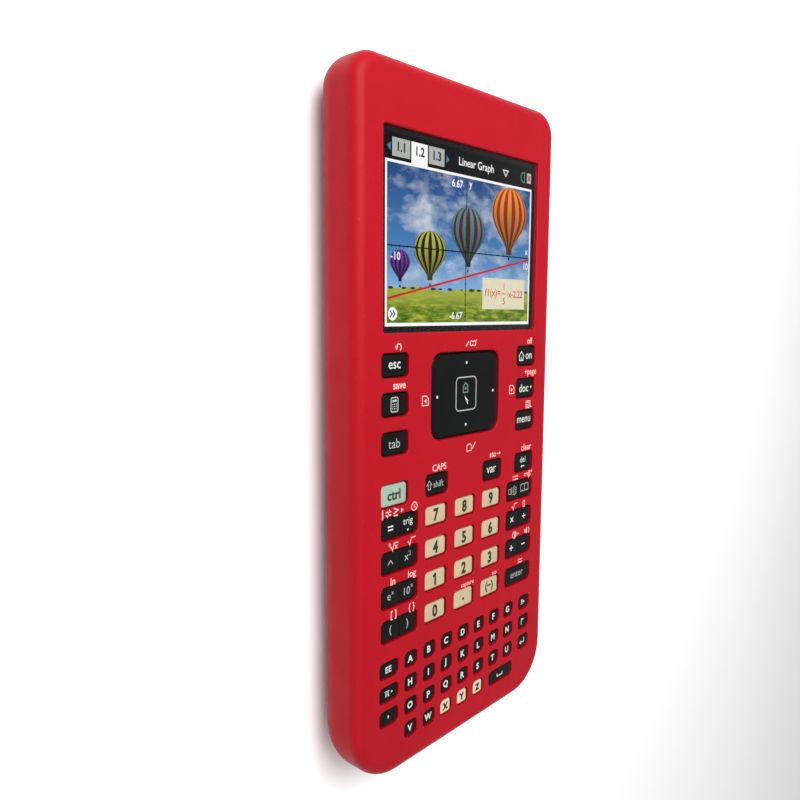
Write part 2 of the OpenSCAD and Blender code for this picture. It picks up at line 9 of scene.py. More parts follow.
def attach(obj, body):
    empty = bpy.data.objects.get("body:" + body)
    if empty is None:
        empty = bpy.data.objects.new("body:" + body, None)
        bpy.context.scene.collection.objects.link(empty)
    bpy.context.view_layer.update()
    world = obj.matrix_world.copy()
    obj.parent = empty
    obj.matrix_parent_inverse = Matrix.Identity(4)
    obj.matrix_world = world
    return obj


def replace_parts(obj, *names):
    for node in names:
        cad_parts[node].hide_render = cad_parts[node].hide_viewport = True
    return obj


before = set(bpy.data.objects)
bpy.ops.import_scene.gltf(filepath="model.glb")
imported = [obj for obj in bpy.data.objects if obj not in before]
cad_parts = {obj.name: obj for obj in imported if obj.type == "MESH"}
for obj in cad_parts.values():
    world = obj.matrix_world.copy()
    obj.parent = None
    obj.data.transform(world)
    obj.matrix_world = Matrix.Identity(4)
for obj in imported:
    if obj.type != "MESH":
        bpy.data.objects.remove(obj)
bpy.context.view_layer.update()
rng = random.Random(11)
scene = bpy.context.scene
MM = 0.001

# ---- sizes, in millimetres, where W runs along X, L along Y, and R is a corner radius

# silicone sleeve: outside size, face skin, side wall, rounding of the back and of the face's edge
SLEEVE_W, SLEEVE_L, SLEEVE_T = 91.0, 194.0, 19.0
SLEEVE_SKIN, SLEEVE_WALL = 1.7, 1.9
BACK_ROUND_W, BACK_ROUND_H, FACE_EDGE_R = 13.6, 10.6, 3.7
TOP_R, BOTTOM_R = 8.1, 16.1
# rolled lips of the large and small cut-outs in the face, and the port slots' height above the back
WIDE_LIP, KEY_LIP = 0.45, 0.3
PORT_Z, PORT_H, PORT_R = 12.6, 8.0, 2.5
# width, length and corner radius of the opening in the sleeve's back
BACK_OPENING = (55.0, 152.0, 12.0)
# screen window and touchpad: centre x, centre y, width, length, as for every key
WINDOW = (0.0, 53.5, 71.4, 52.6)
PAD = (0.0, 8.8, 31.5, 24.0)
WINDOW_R, WINDOW_GAP = 0.9, 0.4
PICTURE_W, PICTURE_L = 68.8, 50.0
PAD_R, PAD_GAP, PAD_BASE = 3.6, 0.5, 17.02
# keycaps: heights of their tops and undersides, corner, rolled edge, crown, gap to the sleeve
KEY_TOP, KEY_BASE, KEY_R = 18.6, 14.55, 1.0
DOUBLE_BASE, CAP_FILLET, CAP_CROWN = 13.95, 0.42, 0.10
GAP_SINGLE, GAP_DOUBLE = 0.36, 0.45
# key grid: pitch, place of its first row, and key size
NUMBER_X, NUMBER_Y, NUMBER_TOP = 13.45, 9.6, -25.2
NUMBER_W, NUMBER_L = 9.1, 5.4
DOUBLE_X, DOUBLE_W, DOUBLE_L = 29.0, 14.0, 5.7
SIDE_X, SIDE_TOP, SIDE_Y, SIDE_W, SIDE_L = 31.1, 18.7, 10.45, 10.0, 5.9
SHIFT_Y, SHIFT_W = -16.2, 9.3
LETTER_X, LETTER_Y, LETTER_TOP = 8.05, 6.95, -64.9
LETTER_W, LETTER_L, LETTER_CAP_R = 4.6, 4.1, 0.9
LETTER_END_X, LETTER_LEFT_W, LETTER_RIGHT_W = 33.2, 6.8, 5.4
SPACE_X, SPACE_W = 20.3, 12.4
# heights of the printed marks, of the lit picture's layers, and of the rating label's face
PRINT_LIFT = 0.02
KEY_INK_Z = KEY_TOP + 0.015
DISPLAY_Z, DISPLAY_STEP, LENS_BACK_Z = 17.64, 0.012, 17.83
LABEL_Z = 2.38
FLOOR_Z, FLOOR_HALF = -0.02, 6000.0
# segments in a rounded corner, and the angle in degrees past which an edge is shaded sharp
SHELL_STEPS, HOLE_STEPS, CAP_STEPS = 14, 5, 5
SHARP_ANGLE = 40.0


def side_key(side, row):
    return (side * SIDE_X, SIDE_TOP - row * SIDE_Y, SIDE_W, SIDE_L)


def number_key(col, row):
    return (col * NUMBER_X, NUMBER_TOP - row * NUMBER_Y, NUMBER_W, NUMBER_L)


def double_key(side, row):
    return (side * DOUBLE_X, NUMBER_TOP - row * NUMBER_Y, DOUBLE_W, DOUBLE_L)


def letter_key(col, row):
    return (col * LETTER_X, LETTER_TOP - row * LETTER_Y, LETTER_W, LETTER_L)


def letter_row(row):
    y = LETTER_TOP - row * LETTER_Y
    left = [(-LETTER_END_X, y, LETTER_LEFT_W, LETTER_L)]
    right = [(LETTER_END_X, y, LETTER_RIGHT_W, LETTER_L)]
    return left + [letter_key(col, row) for col in range(-3, 4)] + right


SINGLE_KEYS = {
    "key_esc": side_key(-1, 0),
    "key_scratchpad": side_key(-1, 1),
    "key_tab": side_key(-1, 2),
    "key_on": side_key(1, 0),
    "key_doc": side_key(1, 1),
    "key_menu": side_key(1, 2),
    "key_ctrl": (-SIDE_X, SHIFT_Y, SIDE_W, SIDE_L),
    "key_shift": (-NUMBER_X, SHIFT_Y, SHIFT_W, SIDE_L),
    "key_var": (NUMBER_X, SHIFT_Y, SHIFT_W, SIDE_L),
    "key_del": (SIDE_X, SHIFT_Y, SIDE_W, SIDE_L),
    "key_enter": double_key(1, 3),
}
NUMBER_KEYS = {}
for row, names in enumerate((("7", "8", "9"), ("4", "5", "6"), ("1", "2", "3"), ("0", "point", "negate"))):
    for col, name in zip((-1, 0, 1), names):
        NUMBER_KEYS["key_" + name] = number_key(col, row)
DOUBLE_KEYS = {}
for row, name in enumerate(("equals_trig", "power_square", "exponentials", "brackets")):
    DOUBLE_KEYS["key_" + name] = double_key(-1, row)
for row, name in enumerate(("template_catalog", "times_divide", "plus_minus")):
    DOUBLE_KEYS["key_" + name] = double_key(1, row)
LAST_Y = LETTER_TOP - 3 * LETTER_Y
LETTER_GROUPS = {
    "letter_keys_row_1": letter_row(0),
    "letter_keys_row_2": letter_row(1),
    "letter_keys_row_3": letter_row(2),
    "letter_keys_row_4": [letter_key(-3, 3), letter_key(-2, 3), (SPACE_X, LAST_Y, SPACE_W, LETTER_L)],
    "letter_keys_xyz": [letter_key(col, 3) for col in (-1, 0, 1)],
}

# ---- materials


def set_inputs(node, **values):
    """Sets a node's sockets by name, with _ for each space."""
    for name, value in values.items():
        node.inputs[name.replace("_", " ")].default_value = value


class Surface:
    """A node material whose colour, roughness and height all vary at real scale."""

    def __init__(self, name):
        self.material = bpy.data.materials.new(name)
        self.material.use_nodes = True
        self.tree = self.material.node_tree
        self.tree.nodes.clear()
        self.out = self.node("ShaderNodeOutputMaterial")
        self.shader = self.node("ShaderNodeBsdfPrincipled")
        self.link(self.shader.outputs["BSDF"], self.out.inputs["Surface"])
        self.place = self.node("ShaderNodeTexCoord").outputs["Object"]

    def node(self, kind, **settings):
        made = self.tree.nodes.new(kind)
        for key, value in settings.items():
            setattr(made, key, value)
        return made

    def link(self, a, b):
        self.tree.links.new(a, b)

    def noise(self, per_mm, detail=3.0, rough=0.55, stretch=None):
        made = self.node("ShaderNodeTexNoise")
        set_inputs(made, Scale=per_mm / MM, Detail=detail, Roughness=rough)
        source = self.place
        if stretch:
            mapping = self.node("ShaderNodeMapping")
            set_inputs(mapping, Scale=stretch)
            self.link(source, mapping.inputs["Vector"])
            source = mapping.outputs["Vector"]
        self.link(source, made.inputs["Vector"])
        return made.outputs["Fac"]

    def ramp(self, source, stops):
        made = self.node("ShaderNodeValToRGB")
        elements = made.color_ramp.elements
        while len(elements) < len(stops):
            elements.new(0.5)
        for element, (place, colour) in zip(elements, stops):
            element.position = place
            element.color = (*colour, 1.0)
        self.link(source, made.inputs["Fac"])
        return made.outputs["Color"]

    def span(self, source, low, high, at=(0.3, 0.7)):
        made = self.node("ShaderNodeMapRange")
        set_inputs(made, From_Min=at[0], From_Max=at[1], To_Min=low, To_Max=high)
        self.link(source, made.inputs["Value"])
        return made.outputs["Result"]

    def mix(self, factor, a, b):
        made = self.node("ShaderNodeMix", data_type="RGBA", blend_type="MIX")
        for key, value in (("Factor", factor), ("A", a), ("B", b)):
            socket = made.inputs[key]
            if hasattr(value, "is_output"):
                self.link(value, socket)
            elif isinstance(value, tuple):
                socket.default_value = (*value, 1.0)
            else:
                socket.default_value = value
        return made.outputs["Result"]

    def bump(self, source, height_mm, strength=1.0, before=None):
        made = self.node("ShaderNodeBump")
        set_inputs(made, Distance=height_mm * MM, Strength=strength)
        self.link(source, made.inputs["Height"])
        if before is not None:
            self.link(before, made.inputs["Normal"])
        return made.outputs["Normal"]


def srgb(r, g, b):
    return tuple(((c / 255 + 0.055) / 1.055) ** 2.4 if c > 10 else c / 255 / 12.92 for c in (r, g, b))


def shade(colour, factor):
    return tuple(min(1.0, c * factor) for c in colour)


def plain_surface(name, colour, rough, rough_spread=0.08, vary=0.12, patch=0.05, grain=4.0, grain_mm=0.01,
                  metallic=0.0, specular=0.5, coat=0.0, specks=0.0, stretch=None):
    """Moulded or painted surface: slow colour drift, fine grain in its height, handled patches in its gloss.

    patch and grain are noise scales per millimetre."""
    s = Surface(name)
    colour = srgb(*colour)
    slow = s.noise(patch, 4.0)
    base = s.ramp(slow, [(0.3, shade(colour, 1 - vary)), (0.7, shade(colour, 1 + vary))])
    if specks:
        dust = s.span(s.noise(2.2, 2.0, 0.6), 0.0, specks, at=(0.66, 0.8))
        base = s.mix(dust, base, (0.75, 0.72, 0.7))
    s.link(base, s.shader.inputs["Base Color"])
    smudge = s.noise(patch * 5, 5.0, 0.62, stretch)
    s.link(s.span(smudge, rough - rough_spread, rough + rough_spread), s.shader.inputs["Roughness"])
    fine = s.noise(grain, 4.0, 0.6, stretch)
    coarse = s.noise(grain * 0.12, 2.0)
    first = s.bump(coarse, grain_mm * 1.5, 0.5)
    s.link(s.bump(fine, grain_mm, 0.8, first), s.shader.inputs["Normal"])
    set_inputs(s.shader, Metallic=metallic, Specular_IOR_Level=specular, Coat_Weight=coat,
               Coat_Roughness=0.15)
    return s.material


def key_plastic(name, colour, vary=0.05, patch=0.2, rough=0.42, specular=0.35):
    return plain_surface(name, colour, rough, 0.07, vary, patch, 7.0, 0.006, specular=specular)


def ink(name, colour, vary=0.05, height_mm=0.003):
    return plain_surface(name, colour, 0.5, 0.06, vary, 0.5, 9.0, height_mm)


def brushed(name, colour, rough, vary, patch, streak):
    return plain_surface(name, colour, rough, 0.1, vary, patch, 3.0, 0.01, metallic=1.0,
                         stretch=(1.0, streak, 1.0))


M = {
    "silicone": plain_surface("red_silicone", (152, 3, 20), 0.5, 0.07, 0.06, 0.02, 5.0, 0.012,
                              specular=0.14, specks=0.04),
    "housing": plain_surface("housing_plastic", (40, 42, 44), 0.5, 0.1, 0.15, 0.05, 6.0, 0.02),
    "black_key": key_plastic("black_key", (11, 13, 12), 0.18, 0.25, 0.38, 0.1),
    "beige_key": key_plastic("beige_key", (170, 156, 124)),
    "cream_key": key_plastic("cream_key", (196, 182, 150)),
    "green_key": key_plastic("green_key", (136, 154, 138)),
    "pad": plain_surface("touchpad_black", (9, 10, 10), 0.35, 0.06, 0.2, 0.12, 8.0, 0.004, specular=0.09),
    "white_print": ink("white_print", (190, 192, 186)),
    "soft_print": ink("soft_print", (150, 154, 148)),
    "grey_print": ink("grey_print", (150, 156, 156), 0.08),
    "teal_print": ink("teal_print", (86, 118, 120), 0.1),
    "dark_print": ink("dark_print", (22, 22, 18), 0.1),
    "pink_print": ink("pink_print", (222, 166, 160), 0.05, 0.004),
    "steel": brushed("screw_steel", (150, 151, 154), 0.32, 0.12, 0.4, 8.0),
    "plate_steel": brushed("plate_steel", (176, 178, 181), 0.3, 0.08, 0.2, 12.0),
    "board": plain_surface("board_green", (24, 92, 58), 0.35, 0.08, 0.12, 0.4, 2.0, 0.02),
    "chip": plain_surface("chip_black", (26, 26, 28), 0.45, 0.1, 0.15, 0.5, 6.0, 0.01),
    "mat": plain_surface("mat_rubber", (120, 120, 124), 0.6, 0.08, 0.08, 0.1, 4.0, 0.02),
    "battery": plain_surface("battery_wrap", (46, 78, 130), 0.3, 0.08, 0.1, 0.1, 3.0, 0.01),
    "wire": plain_surface("wire_sleeving", (176, 30, 30), 0.4, 0.08, 0.1, 0.5, 4.0, 0.01),
    "flex": plain_surface("flex_film", (170, 104, 32), 0.3, 0.08, 0.1, 0.2, 3.0, 0.01),
    "light": plain_surface("light_pipe", (232, 200, 110), 0.2, 0.05, 0.08, 0.5, 4.0, 0.01, coat=0.4),
    "foot": plain_surface("foot_rubber", (22, 22, 23), 0.75, 0.08, 0.2, 0.3, 3.0, 0.05, specks=0.06),
    "acetal": plain_surface("white_acetal", (226, 226, 220), 0.4, 0.08, 0.05, 0.2, 4.0, 0.01),
    "label": plain_surface("rating_label", (196, 198, 200), 0.38, 0.08, 0.05, 0.1, 5.0, 0.004),
}

CAD_LOOKS = {
    "front_housing": "housing", "rear_housing": "housing", "battery_cover": "housing",
    "housing_screws": "steel", "battery_cover_screws": "steel",
    "lcd_frame": "plate_steel", "shield_can": "plate_steel", "usb_socket": "plate_steel",
    "touchpad_plate": "plate_steel", "lcd_flex": "flex", "main_board": "board",
    "touchpad_sensor": "board", "board_chips": "chip", "dock_connector": "chip", "key_mat": "mat",
    "battery_pack": "battery", "battery_lead": "wire", "status_light": "light", "rubber_feet": "foot",
    "reset_button": "chip", "touchpad_actuator": "acetal", "lcd_panel": "chip",
}

# ---- mesh helpers


def ring_points(cx, cy, w, l, r_top, r_bottom=None, steps=8):
    """Rounded rectangle, counter-clockwise from its right-hand side, in millimetres."""
    r_bottom = r_top if r_bottom is None else r_bottom
    points = []
    corners = ((1, 1, r_top), (-1, 1, r_top), (-1, -1, r_bottom), (1, -1, r_bottom))
    for quarter, (sx, sy, r) in enumerate(corners):
        for i in range(steps + 1):
            a = math.radians(90 * quarter + 90 * i / steps)
            points.append((cx + sx * (w / 2 - r) + r * math.cos(a), cy + sy * (l / 2 - r) + r * math.sin(a)))
    return points


def rect(x0, y0, x1, y1):
    return [(x0, y0), (x1, y0), (x1, y1), (x0, y1)]


def smooth_by_angle(mesh, degrees):
    for edge in mesh.edges:
        edge.smooth = not (len(edge.link_faces) == 2 and edge.calc_face_angle(0.0) > math.radians(degrees))


class Builder:
    """Collects faces in millimetres and makes one object of them."""

    def __init__(self):
        self.mesh = bmesh.new()

    def ring(self, points, z):
        heights = z if hasattr(z, "__len__") else [z] * len(points)
        return [self.mesh.verts.new((p[0] * MM, p[1] * MM, h * MM)) for p, h in zip(points, heights)]

    def face(self, verts):
        try:
            made = self.mesh.faces.new(verts)
        except ValueError:
            return None
        made.smooth = True
        return made

    def bridge(self, a, b):
        """Side faces from ring a up to ring b, facing outwards for a counter-clockwise ring."""
        n = len(a)
        for i in range(n):
            j = (i + 1) % n
            self.face((a[i], a[j], b[j], b[i]))

    def fan(self, ring, x, y, z):
        middle = self.mesh.verts.new((x * MM, y * MM, z * MM))
        n = len(ring)
        for i in range(n):
            self.face((ring[i], ring[(i + 1) % n], middle))

    def made(self, name, material, sharp=SHARP_ANGLE):
        data = bpy.data.meshes.new(name)
        smooth_by_angle(self.mesh, sharp)
        self.mesh.to_mesh(data)
        self.mesh.free()
        data.materials.append(material)
        made = bpy.data.objects.new(name, data)
        scene.collection.objects.link(made)
        return made

    def done(self, name, material, body, slot=None, sharp=SHARP_ANGLE):
        made = self.made(name, material, sharp)
        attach(made, body)
        return made


def inside(point, loop):
    """Whether a point lies in a closed outline, by counting the edges to its right."""
    hit = False
    n = len(loop)
    for i in range(n):
        (x0, y0), (x1, y1) = loop[i], loop[(i + 1) % n]
        if (y0 > point[1]) != (y1 > point[1]) and point[0] < (x1 - x0) * (point[1] - y0) / (y1 - y0) + x0:
            hit = not hit
    return hit


def plate_with_holes(builder, outer, holes, up):
    """Flat face between one outer ring of vertices and the rings of its holes."""
    loops = [outer] + holes
    verts = [v for loop in loops for v in loop]
    points = [Vector((v.co.x / MM, v.co.y / MM)) for v in verts]
    edges, start = [], 0
    for loop in loops:
        n = len(loop)
        edges += [(start + i, start + (i + 1) % n) for i in range(n)]
        start += n
    hole_loops = [[(v.co.x / MM, v.co.y / MM) for v in loop] for loop in holes]
    found, _, faces, origin, _, _ = delaunay_2d_cdt(points, edges, [], 1, 1e-6)
    for face in faces:
        middle = (sum(found[i][0] for i in face) / len(face), sum(found[i][1] for i in face) / len(face))
        if not any(inside(middle, loop) for loop in hole_loops):
            corners = [verts[origin[i][0]] for i in face]
            builder.face(corners if up else corners[::-1])


# ---- silicone sleeve


def back_profile(grow, steps):
    """(inset, height) pairs round the sleeve's back edge, from the flat of the back up to the side."""
    w, h = BACK_ROUND_W + grow, BACK_ROUND_H + grow
    for i in range(steps + 1):
        a = math.radians(90 * i / steps)
        yield w * (1 - math.sin(a)), -grow + h * (1 - math.cos(a))


def face_profile(r, top, steps):
    """(inset, height) pairs round the face's edge, from the side up to the face."""
    for i in range(steps + 1):
        a = math.radians(90 * i / steps)
        yield r * (1 - math.cos(a)), top - r * (1 - math.sin(a))


def shell_rings(builder, grow, edge_r, top):
    """Rings of the shell's outline, from the back up to the face."""
    rings = []
    for inset, z in list(back_profile(grow, 16)) + list(face_profile(edge_r, top, 9)):
        d = 2 * (grow - inset)
        outline = ring_points(0, 0, SLEEVE_W + d, SLEEVE_L + d, max(TOP_R + grow - inset, 1.2),
                              max(BOTTOM_R + grow - inset, 3.0), SHELL_STEPS)
        rings.append(builder.ring(outline, z))
    return rings


def hole_list():
    """(box, corner radius, gap, lip radius) of every hole in the sleeve's face."""
    holes = [(WINDOW, WINDOW_R, 0.0, WIDE_LIP), (PAD, PAD_R, PAD_GAP, WIDE_LIP)]
    groups = [SINGLE_KEYS.values(), NUMBER_KEYS.values(), DOUBLE_KEYS.values(), *LETTER_GROUPS.values()]
    for group in groups:
        gap = GAP_DOUBLE if group is groups[2] else GAP_SINGLE
        holes += [(key, KEY_R, gap, KEY_LIP) for key in group]
    return holes


def build_sleeve():
    """Outer and inner shell, joined round the back opening and down through every cut-out in the face."""
    b = Builder()
    outer = shell_rings(b, 0.0, FACE_EDGE_R, SLEEVE_T)
    for low, high in zip(outer, outer[1:]):
        b.bridge(low, high)
    inner = shell_rings(b, -SLEEVE_WALL, FACE_EDGE_R - SLEEVE_WALL, SLEEVE_T - SLEEVE_SKIN)
    for low, high in zip(inner, inner[1:]):
        b.bridge(high, low)
    w, l, r = BACK_OPENING
    rim = []
    for grow, z in ((0.5, 0.0), (0.25, 0.06), (0.06, 0.25), (0.0, 0.5), (0.0, SLEEVE_WALL)):
        rim.append(b.ring(ring_points(0, 0, w + 2 * grow, l + 2 * grow, r + grow, None, SHELL_STEPS), z))
    b.bridge(rim[0], outer[0])
    for low, high in zip(rim, rim[1:]):
        b.bridge(high, low)
    b.bridge(inner[0], rim[-1])
    tops, floors = [], []
    for (x, y, w, l), r, gap, lip in hole_list():
        w, l, r = w + 2 * gap, l + 2 * gap, r + gap
        last = None
        for i in range(5):
            a = math.radians(90 * i / 4)
            grow, z = lip * (1 - math.sin(a)), SLEEVE_T - lip * (1 - math.cos(a))
            ring = b.ring(ring_points(x, y, w + 2 * grow, l + 2 * grow, r + grow, None, HOLE_STEPS), z)
            if last is None:
                tops.append(ring)
            else:
                b.bridge(ring, last)
            last = ring
        foot = b.ring(ring_points(x, y, w, l, r, None, HOLE_STEPS), SLEEVE_T - SLEEVE_SKIN)
        b.bridge(foot, last)
        floors.append(foot)
    plate_with_holes(b, outer[-1], tops, True)
    plate_with_holes(b, inner[-1], floors, False)
    b.mesh.normal_update()
    bmesh.ops.recalc_face_normals(b.mesh, faces=b.mesh.faces)
    made = b.done("sleeve_skin", M["silicone"], "body", "red_silicone")
    cut_port(made, 2.0, 21.0, 1)
    cut_port(made, 0.0, 26.0, -1)
    work = bmesh.new()
    work.from_mesh(made.data)
    smooth_by_angle(work, SHARP_ANGLE)
    for face in work.faces:
        face.smooth = True
        face.material_index = 0
    work.to_mesh(made.data)
    work.free()
    made.data.materials.clear()
    made.data.materials.append(M["silicone"])
    modifier = made.modifiers.new("weighted", "WEIGHTED_NORMAL")
    modifier.keep_sharp = True
    modifier.weight = 90
    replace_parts(made, "silicone_sleeve")


def cut_port(sleeve, x, w, end):
    """Cuts a flared slot through the end wall, at the display end for end=1."""
    c = Builder()
    rings = []
    for reach, grow in ((4.0, 3.4), (0.35, 0.5), (0.0, 0.18), (-0.5, 0.0), (-6.0, 0.0)):
        flat = ring_points(x, PORT_Z, w + 2 * grow, PORT_H + 2 * grow, PORT_R + grow, None, 6)
        y = end * (SLEEVE_L / 2 + reach)
        rings.append([c.mesh.verts.new((px * MM, y * MM, pz * MM)) for px, pz in flat])
    for low, high in zip(rings, rings[1:]):
        c.bridge(low, high)
    c.face(rings[0])
    c.face(rings[-1])
    bmesh.ops.recalc_face_normals(c.mesh, faces=c.mesh.faces)
    cutter = c.done("port_cutter", M["silicone"], "body")
    cut = sleeve.modifiers.new("cut", "BOOLEAN")
    cut.operation = "DIFFERENCE"
    cut.solver = "EXACT"
    cut.object = cutter
    bpy.context.view_layer.update()
    baked = bpy.data.meshes.new_from_object(sleeve.evaluated_get(bpy.context.evaluated_depsgraph_get()))
    sleeve.modifiers.clear()
    old = sleeve.data
    sleeve.data = baked
    bpy.data.meshes.remove(old)
    bpy.data.objects.remove(cutter)


# ---- keycaps


def add_cap(b, key, base, r=KEY_R, fillet=CAP_FILLET, dome=CAP_CROWN):
    """One moulded cap: straight sides, rolled upper edge, slightly crowned top."""
    x, y, w, l = key
    rings = []

    def ring(width, length, radius, z):
        rings.append(b.ring(ring_points(x, y, width, length, radius, None, CAP_STEPS), z))

    ring(w, l, r, base)
    b.face(rings[0][::-1])
    for i in range(6):
        a = math.radians(90 * i / 5)
        inset = fillet * (1 - math.cos(a))
        ring(w - 2 * inset, l - 2 * inset, max(r - inset, 0.2), KEY_TOP - dome - fillet * (1 - math.sin(a)))
    flat_w, flat_l, flat_r = w - 2 * fillet, l - 2 * fillet, max(r - fillet, 0.2)
    for share in (0.85, 0.6, 0.3):
        ring(flat_w * share, flat_l * share, flat_r * share, KEY_TOP - dome * share * share)
    for low, high in zip(rings, rings[1:]):
        b.bridge(low, high)
    b.fan(rings[-1], x, y, KEY_TOP)


def add_double_cap(b, key):
    """Two crowned halves that meet in a shallow valley."""
    x, y, w, l = key
    half = w / 2
    for side in (-1, 1):
        add_cap(b, (x + side * half / 2, y, half + 0.02, l), DOUBLE_BASE)
    low = b.ring(ring_points(x, y, 2.4, l, 0.2, None, CAP_STEPS), DOUBLE_BASE)
    high = b.ring(ring_points(x, y, 2.2, l - 0.3, 0.2, None, CAP_STEPS), KEY_TOP - CAP_FILLET)
    b.face(low[::-1])
    b.bridge(low, high)
    b.face(high)


# ---- lettering and icons


class Print:
    """Thin printed marks. Every mark is a flat piece just above its surface."""

    def __init__(self, z):
        self.b = Builder()
        self.z = z

    def flat(self, verts):
        face = self.b.face(verts)
        if face is not None:
            face.smooth = False

    def text(self, words, x, y, size, bold=0.0, squeeze=1.0):
        data = bpy.data.curves.new("words", "FONT")
        data.body = words
        data.size = size
        data.align_x = "CENTER"
        data.offset = bold
        data.resolution_u = 3
        made = bpy.data.objects.new("words", data)
        scene.collection.objects.link(made)
        bpy.context.view_layer.update()
        mesh = made.to_mesh()
        heights = [v.co.y for v in mesh.vertices]
        drop = (min(heights) + max(heights)) / 2
        verts = self.b.ring([(x + v.co.x * squeeze, y + v.co.y - drop) for v in mesh.vertices], self.z)
        for p in mesh.polygons:
            self.flat([verts[i] for i in p.vertices])
        made.to_mesh_clear()
        bpy.data.objects.remove(made)
        bpy.data.curves.remove(data)

    def area(self, points):
        area = sum(a[0] * b[1] - b[0] * a[1] for a, b in zip(points, points[1:] + points[:1]))
        self.flat(self.b.ring(points if area > 0 else points[::-1], self.z))

    def line(self, points, width, closed=False):
        """Ribbon of even width along a path, with mitred corners."""
        n = len(points)
        left, right = [], []
        for i, p in enumerate(points):
            before = points[(i - 1) % n] if closed or i else None
            after = points[(i + 1) % n] if closed or i < n - 1 else None
            dirs = []
            for a, b in ((before, p), (p, after)):
                if a is not None and b is not None:
                    d = Vector((b[0] - a[0], b[1] - a[1]))
                    if d.length > 1e-9:
                        dirs.append(d.normalized())
            mean = sum(dirs, Vector((0, 0))).normalized()
            normal = Vector((-mean.y, mean.x))
            stretch = 1 / max(0.4, abs(normal.dot(Vector((-dirs[0].y, dirs[0].x)))))
            aside = normal * (width / 2 * stretch)
            left.append((p[0] + aside.x, p[1] + aside.y))
            right.append((p[0] - aside.x, p[1] - aside.y))
        for i in range(n if closed else n - 1):
            j = (i + 1) % n
            self.area([left[i], right[i], right[j], left[j]])

    def disc(self, x, y, r, steps=20):
        turns = [2 * math.pi * i / steps for i in range(steps)]
        self.area([(x + r * math.cos(a), y + r * math.sin(a)) for a in turns])

    def circle(self, x, y, r, width, start=0.0, sweep=360.0, steps=24):
        n = steps if sweep >= 360 else steps + 1
        path = []
        for i in range(n):
            a = math.radians(start + sweep * i / steps)
            path.append((x + r * math.cos(a), y + r * math.sin(a)))
        self.line(path, width, closed=sweep >= 360)

    def box(self, x, y, w, l, width, r=0.0):
        points = ring_points(x, y, w, l, max(r, 0.01), None, 4 if r else 1)
        self.line(points, width, closed=True)

    def done(self, name, material, body):
        return self.b.done(name, material, body, sharp=180.0)


def legend(node, maker, material):
    p = Print(KEY_INK_Z)
    maker(p)
    p.done("legend_" + node.replace("key_", ""), material, node)


# ---- keys with their legends

KEY_WHITE, KEY_SOFT, KEY_DARK = M["white_print"], M["soft_print"], M["dark_print"]


# slot name for each keycap material, passed to done()
CAP_SLOTS = {"black_key": "key_black", "beige_key": "key_beige", "green_key": "key_green_grey",
             "cream_key": "key_cream"}


def finish_caps(b, node, look):
    name = node.replace("letter_keys", "letter_caps").replace("key_", "cap_")
    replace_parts(b.done(name, M[look], node, CAP_SLOTS[look]), node)


def build_keys():
    for name, key in {**SINGLE_KEYS, **NUMBER_KEYS}.items():
        b = Builder()
        add_cap(b, key, KEY_BASE)
        look = "green_key" if name == "key_ctrl" else "beige_key" if name in NUMBER_KEYS else "black_key"
        finish_caps(b, name, look)
    for name, key in DOUBLE_KEYS.items():
        b = Builder()
        add_double_cap(b, key)
        finish_caps(b, name, "black_key")
    for name, keys in LETTER_GROUPS.items():
        b = Builder()
        for key in keys:
            add_cap(b, key, KEY_BASE, LETTER_CAP_R, 0.34, 0.06)
        finish_caps(b, name, "cream_key" if name == "letter_keys_xyz" else "black_key")


